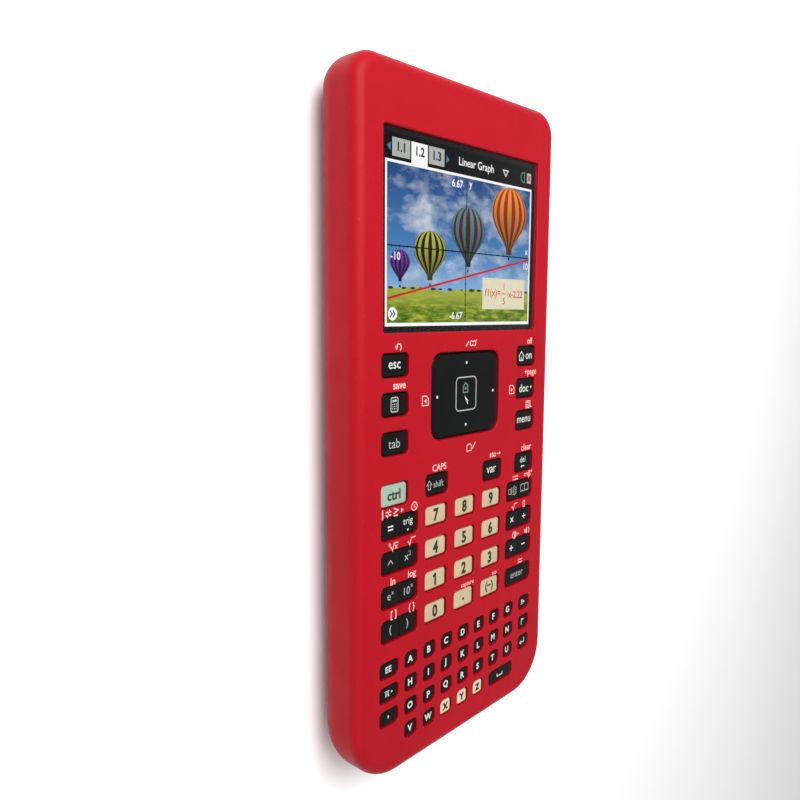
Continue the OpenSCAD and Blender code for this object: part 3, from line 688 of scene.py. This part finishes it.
def build_legends():
    def words(text, size, bold=0.03, squeeze=1.0):
        return lambda p, x, y: p.text(text, x, y, size, bold, squeeze)

    def calculator(p, x, y):
        p.box(x, y, 2.7, 3.8, 0.32, 0.5)
        p.area(rect(x - 0.85, y + 0.7, x + 0.85, y + 1.35))
        for row in range(3):
            for col in range(3):
                p.disc(x - 0.65 + col * 0.65, y + 0.1 - row * 0.6, 0.2, 8)

    def house_on(p, x, y):
        hx = x - 2.2
        p.line([(hx - 1.5, y - 0.1), (hx, y + 1.4), (hx + 1.5, y - 0.1)], 0.32)
        p.line([(hx - 1.05, y + 0.2), (hx - 1.05, y - 1.4), (hx + 1.05, y - 1.4), (hx + 1.05, y + 0.2)], 0.32)
        p.line([(hx, y - 1.3), (hx, y - 0.3)], 0.5)
        p.text("on", x + 2.1, y - 0.2, 3.7, 0.03)

    def doc(p, x, y):
        p.text("doc", x - 0.4, y, 3.7, 0.03)
        p.area([(x + 3.2, y + 0.35), (x + 4.3, y + 0.35), (x + 3.75, y - 0.5)])

    def shift(p, x, y):
        ax = x - 3.0
        right = [(ax + 1.05, y + 0.1), (ax + 0.5, y + 0.1), (ax + 0.5, y - 1.2)]
        left = [(2 * ax - px, py) for px, py in right[::-1]]
        p.line([(ax, y + 1.3)] + right + left, 0.24, True)
        p.text("shift", x + 1.0, y, 2.7, 0.0)

    def delete(p, x, y):
        p.text("del", x, y + 0.75, 2.8, 0.0)
        p.line([(x + 1.1, y - 1.5), (x - 0.5, y - 1.5)], 0.3)
        p.area([(x - 0.4, y - 1.05), (x - 0.4, y - 1.95), (x - 1.3, y - 1.5)])

    singles = {
        "key_esc": words("esc", 3.8, 0.02),
        "key_scratchpad": calculator,
        "key_tab": words("tab", 3.7, -0.01),
        "key_on": house_on,
        "key_doc": doc,
        "key_menu": words("menu", 3.7, 0.02, 0.98),
        "key_ctrl": words("ctrl", 3.9, 0.1),
        "key_shift": shift,
        "key_var": words("var", 3.9, 0.02),
        "key_del": delete,
        "key_enter": words("enter", 3.3, 0.0),
        "key_point": lambda p, x, y: p.disc(x, y - 0.3, 0.46),
        "key_negate": words("(−)", 3.5, 0.12),
    }
    for digit in "0123456789":
        singles["key_" + digit] = words(digit, 4.8, 0.2, 0.9)
    for name, maker in singles.items():
        x, y, w, l = {**SINGLE_KEYS, **NUMBER_KEYS}[name]
        ink = KEY_WHITE
        if name in NUMBER_KEYS or name == "key_ctrl":
            ink = KEY_DARK
        elif name in ("key_scratchpad", "key_tab", "key_shift", "key_enter"):
            ink = KEY_SOFT

        def draw(p):
            maker(p, x, y)
            if name == "key_1":
                p.line([(x - 1.0, y + 0.85), (x - 0.05, y + 1.5)], 0.6)
        legend(name, draw, ink)

    def trig(p, x, y):
        p.text("trig", x, y + 0.4, 2.9, 0.0)
        p.area([(x - 0.45, y - 1.55), (x + 0.45, y - 1.55), (x, y - 2.2)])

    def raised(base, top):
        def draw(p, x, y):
            p.text(base, x - 0.5, y - 0.1, 3.2, 0.0)
            p.text(top, x + (0.9 if len(base) < 2 else 1.8), y + 0.9, 1.9, 0.0)
        return draw

    def template(p, x, y):
        p.box(x - 1.5, y, 1.2, 1.6, 0.22)
        p.line([(x - 0.4, y + 1.3), (x - 0.4, y - 1.3)], 0.24)
        p.line([(x + 1.4, y + 1.5), (x + 0.5, y + 1.2), (x + 0.5, y - 1.2), (x + 1.4, y - 1.5)], 0.22)
        p.box(x + 1.7, y + 0.6, 0.9, 0.8, 0.2)
        p.box(x + 1.7, y - 0.7, 0.9, 0.8, 0.2)

    def book(p, x, y):
        for side in (-1, 1):
            inner, outer = x + side * 0.9, x + side * 2.2
            p.line([(x, y - 1.2), (inner, y - 0.8), (outer, y - 1.0), (outer, y + 1.2), (inner, y + 1.5),
                    (x, y + 1.1)], 0.26)
        p.line([(x, y - 1.2), (x, y + 1.1)], 0.26)

    def caret(p, x, y):
        p.line([(x - 1.0, y - 0.5), (x, y + 0.6), (x + 1.0, y - 0.5)], 0.3)

    def sign(text, size=4.0):
        return lambda p, x, y: p.text(text, x, y, size, 0.04)

    doubles = {
        "key_equals_trig": (sign("=", 4.2), trig),
        "key_power_square": (caret, raised("x", "2")),
        "key_exponentials": (raised("e", "x"), raised("10", "x")),
        "key_brackets": (words("(", 3.0), words(")", 3.0)),
        "key_template_catalog": (template, book),
        "key_times_divide": (sign("×"), sign("÷")),
        "key_plus_minus": (sign("+"), sign("−")),
    }
    for name, (left, right) in doubles.items():
        x, y, w, l = DOUBLE_KEYS[name]

        def both(p):
            left(p, x - w / 4, y)
            right(p, x + w / 4, y)
        soft = name in ("key_power_square", "key_exponentials", "key_brackets", "key_template_catalog")
        legend(name, both, KEY_SOFT if soft else KEY_WHITE)

    rows = {
        "letter_keys_row_1": ["EE", "A", "B", "C", "D", "E", "F", "G", "?!▸"],
        "letter_keys_row_2": ["π", "H", "I", "J", "K", "L", "M", "N", "flag"],
        "letter_keys_row_3": [",", "O", "P", "Q", "R", "S", "T", "U", "return"],
        "letter_keys_row_4": ["V", "W", "space"],
        "letter_keys_xyz": ["X", "Y", "Z"],
    }
    for name, marks in rows.items():
        p = Print(KEY_INK_Z)
        for mark, (x, y, w, l) in zip(marks, LETTER_GROUPS[name]):
            if mark == "flag":
                p.line([(x - 0.6, y - 1.1), (x - 0.6, y + 1.2)], 0.3)
                p.area([(x - 0.6, y + 1.2), (x + 1.0, y + 0.7), (x - 0.6, y + 0.1)])
            elif mark == "return":
                p.line([(x + 1.2, y + 0.9), (x + 1.2, y - 0.5), (x - 0.6, y - 0.5)], 0.34)
                p.area([(x - 0.4, y + 0.2), (x - 0.4, y - 1.2), (x - 1.5, y - 0.5)])
            elif mark == "space":
                p.line([(x - 1.4, y + 0.3), (x - 1.4, y - 0.6), (x + 1.4, y - 0.6), (x + 1.4, y + 0.3)], 0.34)
            elif mark == "π":
                p.text(mark, x - 0.5, y, 3.0, 0.05)
                p.area([(x + 1.1, y + 0.5), (x + 1.1, y - 0.3), (x + 1.8, y + 0.1)])
            else:
                bold = 0.2 if name == "letter_keys_xyz" else 0.1
                if len(mark) > 1:
                    p.text(mark, x, y, 2.5, 0.05)
                else:
                    p.text(mark, x, y, 2.75, bold)
        look = KEY_DARK if name == "letter_keys_xyz" else KEY_WHITE
        p.done(name.replace("letter_keys", "legend_letters"), look, name)


# ---- labels printed on the sleeve


def build_sleeve_labels():
    p = Print(SLEEVE_T + PRINT_LIFT)
    shift = 1.1
    above = 4.85

    def spot(name, dx=0.0):
        return SINGLE_KEYS[name][0] + shift + dx, SINGLE_KEYS[name][1] + above

    x, y = spot("key_esc")
    p.circle(x + 0.1, y - 0.1, 0.9, 0.36, -60, 210)
    p.area([(x - 1.4, y + 0.2), (x - 0.2, y + 0.3), (x - 0.8, y - 0.9)])
    words = (("key_scratchpad", "save", 2.9, 0.4, 0.06), ("key_on", "off", 2.7, 0.6, 0.06),
             ("key_doc", "+page", 2.9, 1.5, 0.03), ("key_shift", "CAPS", 2.7, -0.2, 0.05),
             ("key_var", "sto", 2.7, -1.0, 0.04), ("key_del", "clear", 3.0, 0.1, 0.04))
    for name, text, size, dx, bold in words:
        p.text(text, *spot(name, dx), size, bold)
    x, y = spot("key_menu", 0.8)
    p.box(x - 0.2, y + 0.1, 2.4, 2.2, 0.3)
    for i in range(3):
        p.line([(x - 1.1, y + 0.7 - 0.6 * i), (x + 0.5, y + 0.7 - 0.6 * i)], 0.25)
    p.area([(x + 0.5, y + 0.2), (x + 1.9, y - 0.8), (x + 0.7, y - 1.3)])
    x, y = spot("key_var", 2.2)
    p.line([(x - 0.9, y), (x + 0.3, y)], 0.35)
    p.area([(x + 0.1, y + 0.55), (x + 1.0, y), (x + 0.1, y - 0.55)])

    def page(x, y, side):
        """Sheet with a turned corner, and an arrow that points to one side."""
        p.line([(x - 1.3, y - 1.3), (x - 1.3, y + 1.3), (x + 0.4, y + 1.3), (x + 1.3, y + 0.5),
                (x + 1.3, y - 1.3)], 0.3, True)
        p.area([(x - side * 0.5, y + 0.5), (x - side * 0.5, y - 0.7), (x + side * 0.6, y - 0.1)])

    page(-19.0, 8.3, -1)
    page(23.2, 8.3, 1)
    x, y = 1.4, 23.6
    p.line([(x - 2.3, y - 0.8), (x - 1.0, y + 0.5)], 0.45)
    p.circle(x + 0.3, y, 0.7, 0.3)
    p.circle(x + 1.7, y, 0.7, 0.3)
    p.line([(x + 2.3, y + 0.5), (x + 2.9, y + 1.0)], 0.3)
    x, y = 2.0, -7.5
    p.line([(x - 1.8, y - 1.0), (x - 1.8, y + 0.7), (x - 0.6, y + 1.1), (x + 0.5, y + 0.5),
            (x + 0.4, y - 1.0)], 0.3, True)
    p.line([(x + 0.2, y + 0.1), (x + 0.9, y - 0.4), (x + 2.4, y + 1.3)], 0.35)

    def halves(name):
        x, y, w, l = DOUBLE_KEYS[name]
        return x - w / 4 + shift, x + w / 4 + shift, y + 4.35

    a, c, y = halves("key_equals_trig")
    p.line([(a - 4.6, y + 1.3), (a - 4.6, y - 1.3)], 0.4)
    for rise in (-0.45, 0.45):
        p.line([(a - 3.4, y + rise), (a - 1.3, y + rise)], 0.38)
    p.line([(a - 2.8, y - 1.1), (a - 1.9, y + 1.1)], 0.34)
    p.line([(a - 0.3, y + 1.1), (a + 1.4, y + 0.35), (a - 0.3, y - 0.4)], 0.38)
    p.line([(a - 0.3, y - 1.05), (a + 1.4, y - 1.05)], 0.36)
    p.area([(a + 2.6, y + 0.65), (a + 2.6, y - 0.65), (a + 3.7, y)])
    p.circle(c + 1.1, y + 0.1, 1.15, 0.3)
    p.line([(c + 1.1, y + 0.8), (c + 1.1, y), (c + 1.6, y - 0.3)], 0.25)

    def root(x, y, index):
        p.line([(x - 1.6, y - 0.1), (x - 1.2, y + 0.1), (x - 0.7, y - 1.0), (x - 0.1, y + 1.0),
                (x + 1.6, y + 1.0)], 0.3)
        if index:
            p.text("n", x - 1.8, y + 0.8, 1.7, 0.05)
            p.text("x", x + 0.7, y - 0.1, 2.2, 0.05)

    a, c, y = halves("key_power_square")
    root(a, y, True)
    root(c, y, False)
    a, c, y = halves("key_exponentials")
    p.text("ln", a - 0.5, y, 3.0, 0.04)
    p.text("log", c + 0.2, y, 2.8, 0.04)
    a, c, y = halves("key_brackets")
    p.text("[ ]", a - 0.2, y, 2.8, 0.05)
    p.text("{ }", c + 0.2, y, 2.8, 0.05)
    a, c, y = halves("key_template_catalog")
    for rise in (-0.5, 0.5):
        p.disc(a - 1.5, y + rise, 0.26, 10)
        p.line([(a - 0.8, y + rise), (a + 1.3, y + rise)], 0.4)
    p.text("∞β°", c + 0.3, y, 2.6, 0.05)
    a, c, y = halves("key_times_divide")
    root(a - 0.3, y, False)
    p.box(c - 1.8, y, 0.9, 2.0, 0.3)
    a, c, y = halves("key_plus_minus")
    p.circle(a, y, 1.1, 0.32)
    p.area([(a, y + 1.1), (a, y - 1.1), (a + 0.8, y - 0.7), (a + 1.1, y), (a + 0.8, y + 0.7)])
    p.area([(a + 1.9, y + 0.5), (a + 1.9, y - 0.5), (a + 2.7, y)])
    p.area([(c - 1.1, y - 0.5), (c - 1.1, y + 0.5), (c - 0.4, y + 0.5), (c + 0.5, y + 1.2),
            (c + 0.5, y - 1.2), (c - 0.4, y - 0.5)])
    p.circle(c + 0.4, y, 1.3, 0.34, -50, 100)
    x, y = SINGLE_KEYS["key_enter"][0] + shift, SINGLE_KEYS["key_enter"][1]
    for rise in (3.8, 4.7):
        p.line([(x - 1.1, y + rise), (x - 0.3, y + rise + 0.3), (x + 0.5, y + rise - 0.1),
                (x + 1.3, y + rise + 0.2)], 0.34)
    x, y, w, l = NUMBER_KEYS["key_point"]
    p.text("capture", x + shift + 0.4, y + 4.0, 2.1, 0.02)
    x, y, w, l = NUMBER_KEYS["key_negate"]
    p.text("ans", x + shift + 1.0, y + 3.95, 1.9, 0.03)
    p.done("sleeve_labels", M["pink_print"], "body")


# ---- touchpad


def build_touchpad():
    x, y, w, l = PAD
    b = Builder()
    add_cap(b, PAD, PAD_BASE, PAD_R, 0.5, 0.06)
    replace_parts(b.done("touchpad_cover", M["pad"], "touchpad", "touchpad_black"), "touchpad")
    dots = Print(KEY_INK_Z)
    for dx, dy in ((13.4, 0), (-13.4, 0), (0, 9.2), (0, -9.2)):
        dots.disc(x + dx, y + dy, 0.42, 16)
    dots.done("touchpad_dots", M["white_print"], "touchpad")
    frame_line = Print(KEY_INK_Z)
    frame_line.box(x, y, 9.6, 9.8, 0.34, 1.4)
    frame_line.done("touchpad_outline", M["grey_print"], "touchpad")
    marks = Print(KEY_INK_Z)
    hx, hy = x - 0.2, y + 1.6
    marks.line([(hx - 1.2, hy - 1.2), (hx - 1.2, hy + 0.6), (hx - 0.2, hy + 1.6), (hx + 0.9, hy + 0.9),
                (hx + 1.0, hy - 1.2)], 0.36, True)
    marks.disc(hx - 0.1, hy, 0.45, 12)
    marks.done("touchpad_hand", M["teal_print"], "touchpad")
    arrow = Print(KEY_INK_Z)
    ax, ay = x - 0.3, y - 0.9
    arrow.area([(ax - 0.5, ay + 0.4), (ax + 1.4, ay - 1.3), (ax + 0.3, ay - 1.4)])
    arrow.line([(ax + 0.5, ay - 1.0), (ax + 1.1, ay - 2.2)], 0.4)
    arrow.done("touchpad_arrow", M["white_print"], "touchpad")


# ---- display


def lit_surface(name, look):
    """A surface that glows like a backlit display. look is a colour, or a function that makes its nodes."""
    s = Surface("display_" + name)
    if callable(look):
        colour = look(s)
    else:
        colour = s.ramp(s.noise(0.4, 2.0), [(0.3, shade(srgb(*look), 0.96)), (0.7, shade(srgb(*look), 1.03))])
    s.link(colour, s.shader.inputs["Emission Color"])
    set_inputs(s.shader, Emission_Strength=1.0, Base_Color=(0.0, 0.0, 0.0, 1.0), Specular_IOR_Level=0.02)
    s.link(s.span(s.noise(0.5, 3.0), 0.32, 0.42), s.shader.inputs["Roughness"])
    s.link(s.bump(s.noise(8.0, 2.0), 0.002, 0.5), s.shader.inputs["Normal"])
    return s.material


def sky_colour(s):
    mapping = s.node("ShaderNodeSeparateXYZ")
    s.link(s.place, mapping.inputs["Vector"])
    height = s.span(mapping.outputs["Y"], 0.0, 1.0, at=(0.036, 0.072))
    blues = [(0.0, srgb(140, 184, 222)), (0.35, srgb(72, 128, 184)), (1.0, srgb(26, 66, 124))]
    blue = s.ramp(height, blues)
    cloud = s.noise(0.075, 6.0, 0.62, (1.0, 1.9, 1.0))
    white = s.span(cloud, 0.0, 0.8, at=(0.46, 0.7))
    grey = s.ramp(s.noise(0.12, 4.0), [(0.35, srgb(170, 182, 198)), (0.65, srgb(232, 236, 240))])
    return s.mix(white, blue, grey)


def balloon_colour(s, colour, low, high):
    """Stripe colour, in shade towards the bottom of the balloon."""
    split = s.node("ShaderNodeSeparateXYZ")
    s.link(s.place, split.inputs["Vector"])
    height = s.span(split.outputs["Y"], 0.0, 1.0, at=(low * MM, high * MM))
    shades = ((0.05, 0.16), (0.55, 0.62), (0.95, 1.05))
    return s.ramp(height, [(place, shade(colour, light)) for place, light in shades])


def field_colour(s):
    rows = s.noise(0.5, 6.0, 0.7, (0.35, 1.6, 1.0))
    greens = [(0.3, srgb(30, 66, 14)), (0.5, srgb(98, 130, 30)), (0.68, srgb(196, 192, 70))]
    near = s.ramp(rows, greens)
    split = s.node("ShaderNodeSeparateXYZ")
    s.link(s.place, split.inputs["Vector"])
    far = s.span(split.outputs["Y"], 0.0, 0.75, at=(0.033, 0.0375))
    return s.mix(far, near, srgb(170, 180, 70))


def display_print(level):
    return Print(DISPLAY_Z + level * DISPLAY_STEP)


def build_balloon(number, box, colours):
    """Striped envelope with a basket. box is centre x, centre y, width, height."""
    bx, by, bw, bh = box

    def half_width(t):
        belly = t - 0.2
        if belly > 0.0:
            return bw * math.sqrt(max(0.0, 1 - (belly / 0.8) ** 2))
        return bw * max(0.16, 0.5 + 0.5 * math.cos(belly / 1.2 * math.pi * 0.86))

    layers, gores = 22, 13
    pair = [display_print(5), display_print(5)]
    for g in range(gores):
        c0, c1 = math.cos(math.pi * g / gores) / 2, math.cos(math.pi * (g + 1) / gores) / 2
        for k in range(layers):
            t0, t1 = -1 + 2 * k / layers, -1 + 2 * (k + 1) / layers
            w0, w1 = half_width(t0), half_width(t1)
            y0, y1 = by + t0 * bh / 2, by + t1 * bh / 2
            pair[g % 2].area([(bx - w0 * c0, y0), (bx - w0 * c1, y0), (bx - w1 * c1, y1), (bx - w1 * c0, y1)])
    low, high = by - bh / 2, by + bh / 2
    for n, (piece, colour) in enumerate(zip(pair, colours)):
        name = "balloon_%d_%d" % (number, n)
        look = lit_surface(name, lambda s: balloon_colour(s, srgb(*colour), low, high))
        piece.done("display_" + name, look, "body")
    basket = display_print(5)
    basket.area(rect(bx - 0.35, low - 1.6, bx + 0.35, low - 0.9))
    for side in (-1, 1):
        basket.line([(bx + side * 0.3, low - 0.9), (bx + side * 0.5, low + 0.1)], 0.1)
    return basket


def build_display():
    cx, cy, w, l = WINDOW
    left, right = cx - PICTURE_W / 2 + 0.5, cx + PICTURE_W / 2 - 0.5
    bottom, top = cy - PICTURE_L / 2 + 0.4, cy + PICTURE_L / 2 - 0.3
    bar = top - 6.6
    horizon = bottom + 9.6
    colours = {
        "dark": (12, 13, 12), "white": (250, 250, 250), "grey": (176, 178, 176), "black_ink": (18, 18, 22),
        "red": (206, 32, 40), "blue": (60, 130, 190), "paper": (226, 220, 192), "green": (90, 150, 110),
        "tree": (40, 66, 34), "pink": (214, 178, 186), "navy": (40, 70, 130),
        "sky": sky_colour, "field": field_colour,
    }
    lit = {name: lit_surface(name, colour) for name, colour in colours.items()}

    def put(p, name, look):
        p.done("display_" + name, lit[look], "body")

    def sheet(name, points, level, look):
        p = display_print(level)
        p.area(points)
        put(p, name, look)

    half_w, half_l = PICTURE_W / 2 - 0.05, PICTURE_L / 2 - 0.05
    sheet("glass", rect(cx - half_w, cy - half_l, cx + half_w, cy + half_l), 0, "dark")
    sheet("frame", rect(left, bottom, right, bar), 1, "white")
    il, ir, ib, it = left + 0.7, right - 0.7, bottom + 0.9, bar - 0.7
    sheet("sky", rect(il, horizon, ir, it), 2, "sky")
    hills = [(il, ib), (ir, ib)]
    for i in range(25):
        x = ir + (il - ir) * i / 24
        hills.append((x, horizon + 0.5 + 0.35 * math.sin(i * 0.7) + 0.25 * math.sin(i * 1.9 + 1)))
    sheet("field", hills, 3, "field")
    trees = display_print(3.5)
    for i in range(16):
        x = il + 1.5 + i * (ir - il - 3) / 15 + rng.uniform(-1, 1)
        r = rng.uniform(0.35, 0.8)
        trees.area([(x + r * 1.7 * math.cos(k * 0.7), horizon + 0.55 + r * 0.6 * math.sin(k * 0.7))
                    for k in range(9)])
    put(trees, "trees", "tree")

    # status bar with page tabs
    tab_y = bar + 3.2
    tabs = [(left + 2.6, 6.9, "grey"), (left + 10.0, 6.6, "white"), (left + 17.1, 6.6, "grey")]
    for i, (x, tw, look) in enumerate(tabs, 1):
        low = bar if look == "white" else bar + 0.9
        sheet("tab_%d" % i, rect(x, low, x + tw, tab_y + 2.4), 2, look)
        number = display_print(4)
        number.text("1.%d" % i, x + tw / 2, tab_y + 0.2, 3.3, 0.09)
        put(number, "tab_ink_%d" % i, "black_ink")
    arrows = display_print(2)
    for tip, foot in ((0.7, 2.0), (25.9, 24.6)):
        arrows.area([(left + tip, tab_y), (left + foot, tab_y + 1.1), (left + foot, tab_y - 1.1)])
    put(arrows, "arrows", "blue")
    title = display_print(2)
    title.text("Linear Graph", left + 38.6, tab_y, 3.2, 0.03)
    x, y = right - 14.5, tab_y + 0.8
    title.line([(x - 1.3, y), (x + 1.3, y), (x, y - 1.7)], 0.3, True)
    put(title, "title", "white")
    icons = display_print(2)
    icons.circle(right - 4.6, tab_y, 1.5, 0.35, 60, 240)
    icons.line([(right - 4.2, tab_y + 1.4), (right - 4.2, tab_y - 1.4)], 0.35)
    put(icons, "battery_icon", "green")
    sheet("close_box", rect(right - 2.8, tab_y - 1.5, right - 0.5, tab_y + 1.6), 2, "pink")
    cross = display_print(4)
    cross.line([(right - 2.3, tab_y - 0.8), (right - 1.0, tab_y + 0.9)], 0.3)
    cross.line([(right - 1.0, tab_y - 0.8), (right - 2.3, tab_y + 0.9)], 0.3)
    put(cross, "close_cross", "black_ink")

    # four plain striped balloons, smallest on the left
    balloons = [
        ((-28.2, 44.9, 7.8, 8.4), ((46, 34, 96), (128, 62, 160))),
        ((-16.0, 48.1, 13.6, 13.4), ((26, 34, 62), (190, 186, 52))),
        ((1.1, 54.4, 15.8, 17.2), ((112, 24, 34), (66, 148, 152))),
        ((21.8, 60.6, 18.4, 20.4), ((226, 160, 36), (186, 34, 46))),
    ]
    for i, (box, stripes) in enumerate(balloons, 1):
        put(build_balloon(i, box, stripes), "basket_%d" % i, "black_ink")

    # axes, plotted line and its formula
    axes = display_print(6)
    ax_x, ax_y = 0.1, 49.9
    axes.line([(il, ax_y), (ir, ax_y)], 0.34)
    axes.line([(ax_x, ib), (ax_x, it)], 0.34)
    for i in range(21):
        x = il + (ir - il) * (i + 0.5) / 21
        axes.line([(x, ax_y - 0.45), (x, ax_y + 0.45)], 0.22)
    for i in range(13):
        y = ib + (it - ib) * (i + 0.5) / 13
        axes.line([(ax_x - 0.45, y), (ax_x + 0.45, y)], 0.22)
    put(axes, "axes", "black_ink")
    plot = display_print(7)
    plot.line([(il, 36.2), (ir, 49.5)], 0.62)
    put(plot, "plot", "red")
    scale = display_print(7)
    marks = (("-10", il + 3.2, ax_y - 2.6), ("10", ir - 2.0, ax_y - 2.6), ("6.67", ax_x - 4.4, it - 2.1),
             ("y", ax_x + 1.8, it - 2.1), ("-6.67", ax_x - 4.4, ib + 1.9), ("x", ir - 1.6, ax_y + 1.8))
    for mark, x, y in marks:
        scale.text(mark, x, y, 2.9, 0.04)
    put(scale, "scale", "white")
    sheet("note", rect(8.4, 33.6, 31.0, 43.0), 6, "paper")
    formula = display_print(8)
    terms = (("f1(x)=", 13.8, 38.3, 3.3), ("1", 19.6, 40.6, 2.9), ("5", 19.6, 36.1, 2.9),
             ("·x-2.22", 25.6, 38.3, 3.1))
    for term, x, y, size in terms:
        formula.text(term, x, y, size, 0.03)
    formula.line([(18.6, 38.4), (20.6, 38.4)], 0.24)
    put(formula, "formula", "red")
    badge = display_print(6)
    badge.disc(il + 2.2, ib + 2.4, 1.75, 24)
    put(badge, "badge", "white")
    chevron = display_print(7)
    for x in (il + 1.2, il + 2.3):
        chevron.line([(x, ib + 3.3), (x + 0.8, ib + 2.4), (x, ib + 1.5)], 0.38)
    put(chevron, "chevron", "navy")

    # black print under the edge of the lens
    b = Builder()
    edge = 2 * WINDOW_GAP + 0.05
    outer = b.ring(ring_points(cx, cy, w - edge, l - edge, 0.95, None, 5), LENS_BACK_Z)
    inner = b.ring(ring_points(cx, cy, PICTURE_W - 0.6, PICTURE_L - 0.5, 0.3, None, 5), LENS_BACK_Z)
    b.bridge(outer, inner)
    b.done("lens_border", M["pad"], "body")


def glass_material():
    """Clear lens that reflects more at grazing angles."""
    s = Surface("clear_lens")
    clear = s.node("ShaderNodeBsdfTransparent")
    gloss = s.node("ShaderNodeBsdfGlossy")
    s.link(s.span(s.noise(0.08, 4.0), 0.03, 0.09), gloss.inputs["Roughness"])
    s.link(s.bump(s.noise(0.6, 2.0), 0.002, 0.4), gloss.inputs["Normal"])
    facing = s.node("ShaderNodeLayerWeight")
    set_inputs(facing, Blend=0.5)
    steep = s.node("ShaderNodeMath", operation="POWER")
    steep.inputs[1].default_value = 5.0
    s.link(facing.outputs["Facing"], steep.inputs[0])
    blend = s.node("ShaderNodeMixShader")
    s.link(s.span(steep.outputs["Value"], 0.004, 0.9, at=(0.0, 1.0)), blend.inputs["Fac"])
    s.link(clear.outputs["BSDF"], blend.inputs[1])
    s.link(gloss.outputs["BSDF"], blend.inputs[2])
    s.link(blend.outputs["Shader"], s.out.inputs["Surface"])
    s.tree.nodes.remove(s.shader)
    return s.material


# ---- back label


def build_rating_label():
    z = LABEL_Z
    b = Builder()
    outline = ring_points(0, -14, 37.4, 23.4, 1.4, None, 5)
    low, high = b.ring(outline, z), b.ring(outline, z - 0.08)
    b.face(low)
    b.bridge(high, low)
    b.face(high[::-1])
    b.done("rating_label", M["label"], "body")
    p = Print(z - 0.1)
    x = -15.0
    while x < 3.0:
        width = rng.choice((0.25, 0.4, 0.6))
        p.area(rect(x, -22.5, x + width, -18.0))
        x += width + rng.choice((0.3, 0.5, 0.7))
    for words, y in (("3.7 V  1200 mAh", -8.0), ("5 V  0.5 A", -11.4), ("0123456789", -14.8)):
        p.text(words, 4.0, y, 2.4, 0.03, -1.0)
    p.circle(12.0, -19.6, 2.1, 0.35)
    p.line([(10.5, -21.1), (13.5, -18.1)], 0.35)
    # the label faces down, so its marks do too
    for face in p.b.mesh.faces:
        face.normal_flip()
    p.done("rating_label_ink", M["dark_print"], "body")


# ---- put it together

for name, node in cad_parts.items():
    if name in CAD_LOOKS:
        node.data.materials.clear()
        node.data.materials.append(M[CAD_LOOKS[name]])
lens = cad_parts["screen_lens"]
lens.data.materials.clear()
lens.data.materials.append(glass_material())

build_sleeve()
build_keys()
build_legends()
build_sleeve_labels()
build_touchpad()
build_display()
build_rating_label()

# ---- floor, light and camera


def build_stage():
    b = Builder()
    b.face(b.ring(rect(-FLOOR_HALF, -FLOOR_HALF, FLOOR_HALF, FLOOR_HALF), FLOOR_Z))
    s = Surface("pale_floor")
    pale = s.ramp(s.noise(0.004, 3.0), [(0.3, (0.86, 0.86, 0.86)), (0.7, (0.9, 0.9, 0.9))])
    s.link(pale, s.shader.inputs["Base Color"])
    s.link(s.span(s.noise(0.05, 3.0), 0.75, 0.85), s.shader.inputs["Roughness"])
    b.made("floor", s.material)


def area_light(name, place, aim, size, power):
    data = bpy.data.lights.new(name, "AREA")
    data.shape = "DISK"
    data.size = size
    data.energy = power
    made = bpy.data.objects.new(name, data)
    made.location = place
    made.rotation_euler = (Vector(aim) - Vector(place)).to_track_quat("-Z", "Y").to_euler()
    scene.collection.objects.link(made)


build_stage()
area_light("key_light", (-0.12, 0.3, 0.48), (0, 0.03, 0.01), 0.5, 5.0)
area_light("fill_light", (-0.6, -0.5, 0.7), (0, 0, 0.01), 0.8, 1.5)
world = bpy.data.worlds.new("studio")
world.use_nodes = True
set_inputs(world.node_tree.nodes["Background"], Color=(1.0, 1.0, 1.0, 1.0), Strength=0.55)
scene.world = world
scene.view_settings.view_transform = "Standard"

lens_data = bpy.data.cameras.new("camera")
lens_data.sensor_width = 36.0
lens_data.lens = 33.64
camera = bpy.data.objects.new("camera", lens_data)
camera.location = (-0.17523, 0.03291, 0.15271)
camera.rotation_euler = tuple(math.radians(a) for a in (-7.06, -47.455, 0.379))
lens_data.clip_start = 0.01
lens_data.clip_end = 20.0
scene.collection.objects.link(camera)
scene.camera = camera

bpy.context.view_layer.update()
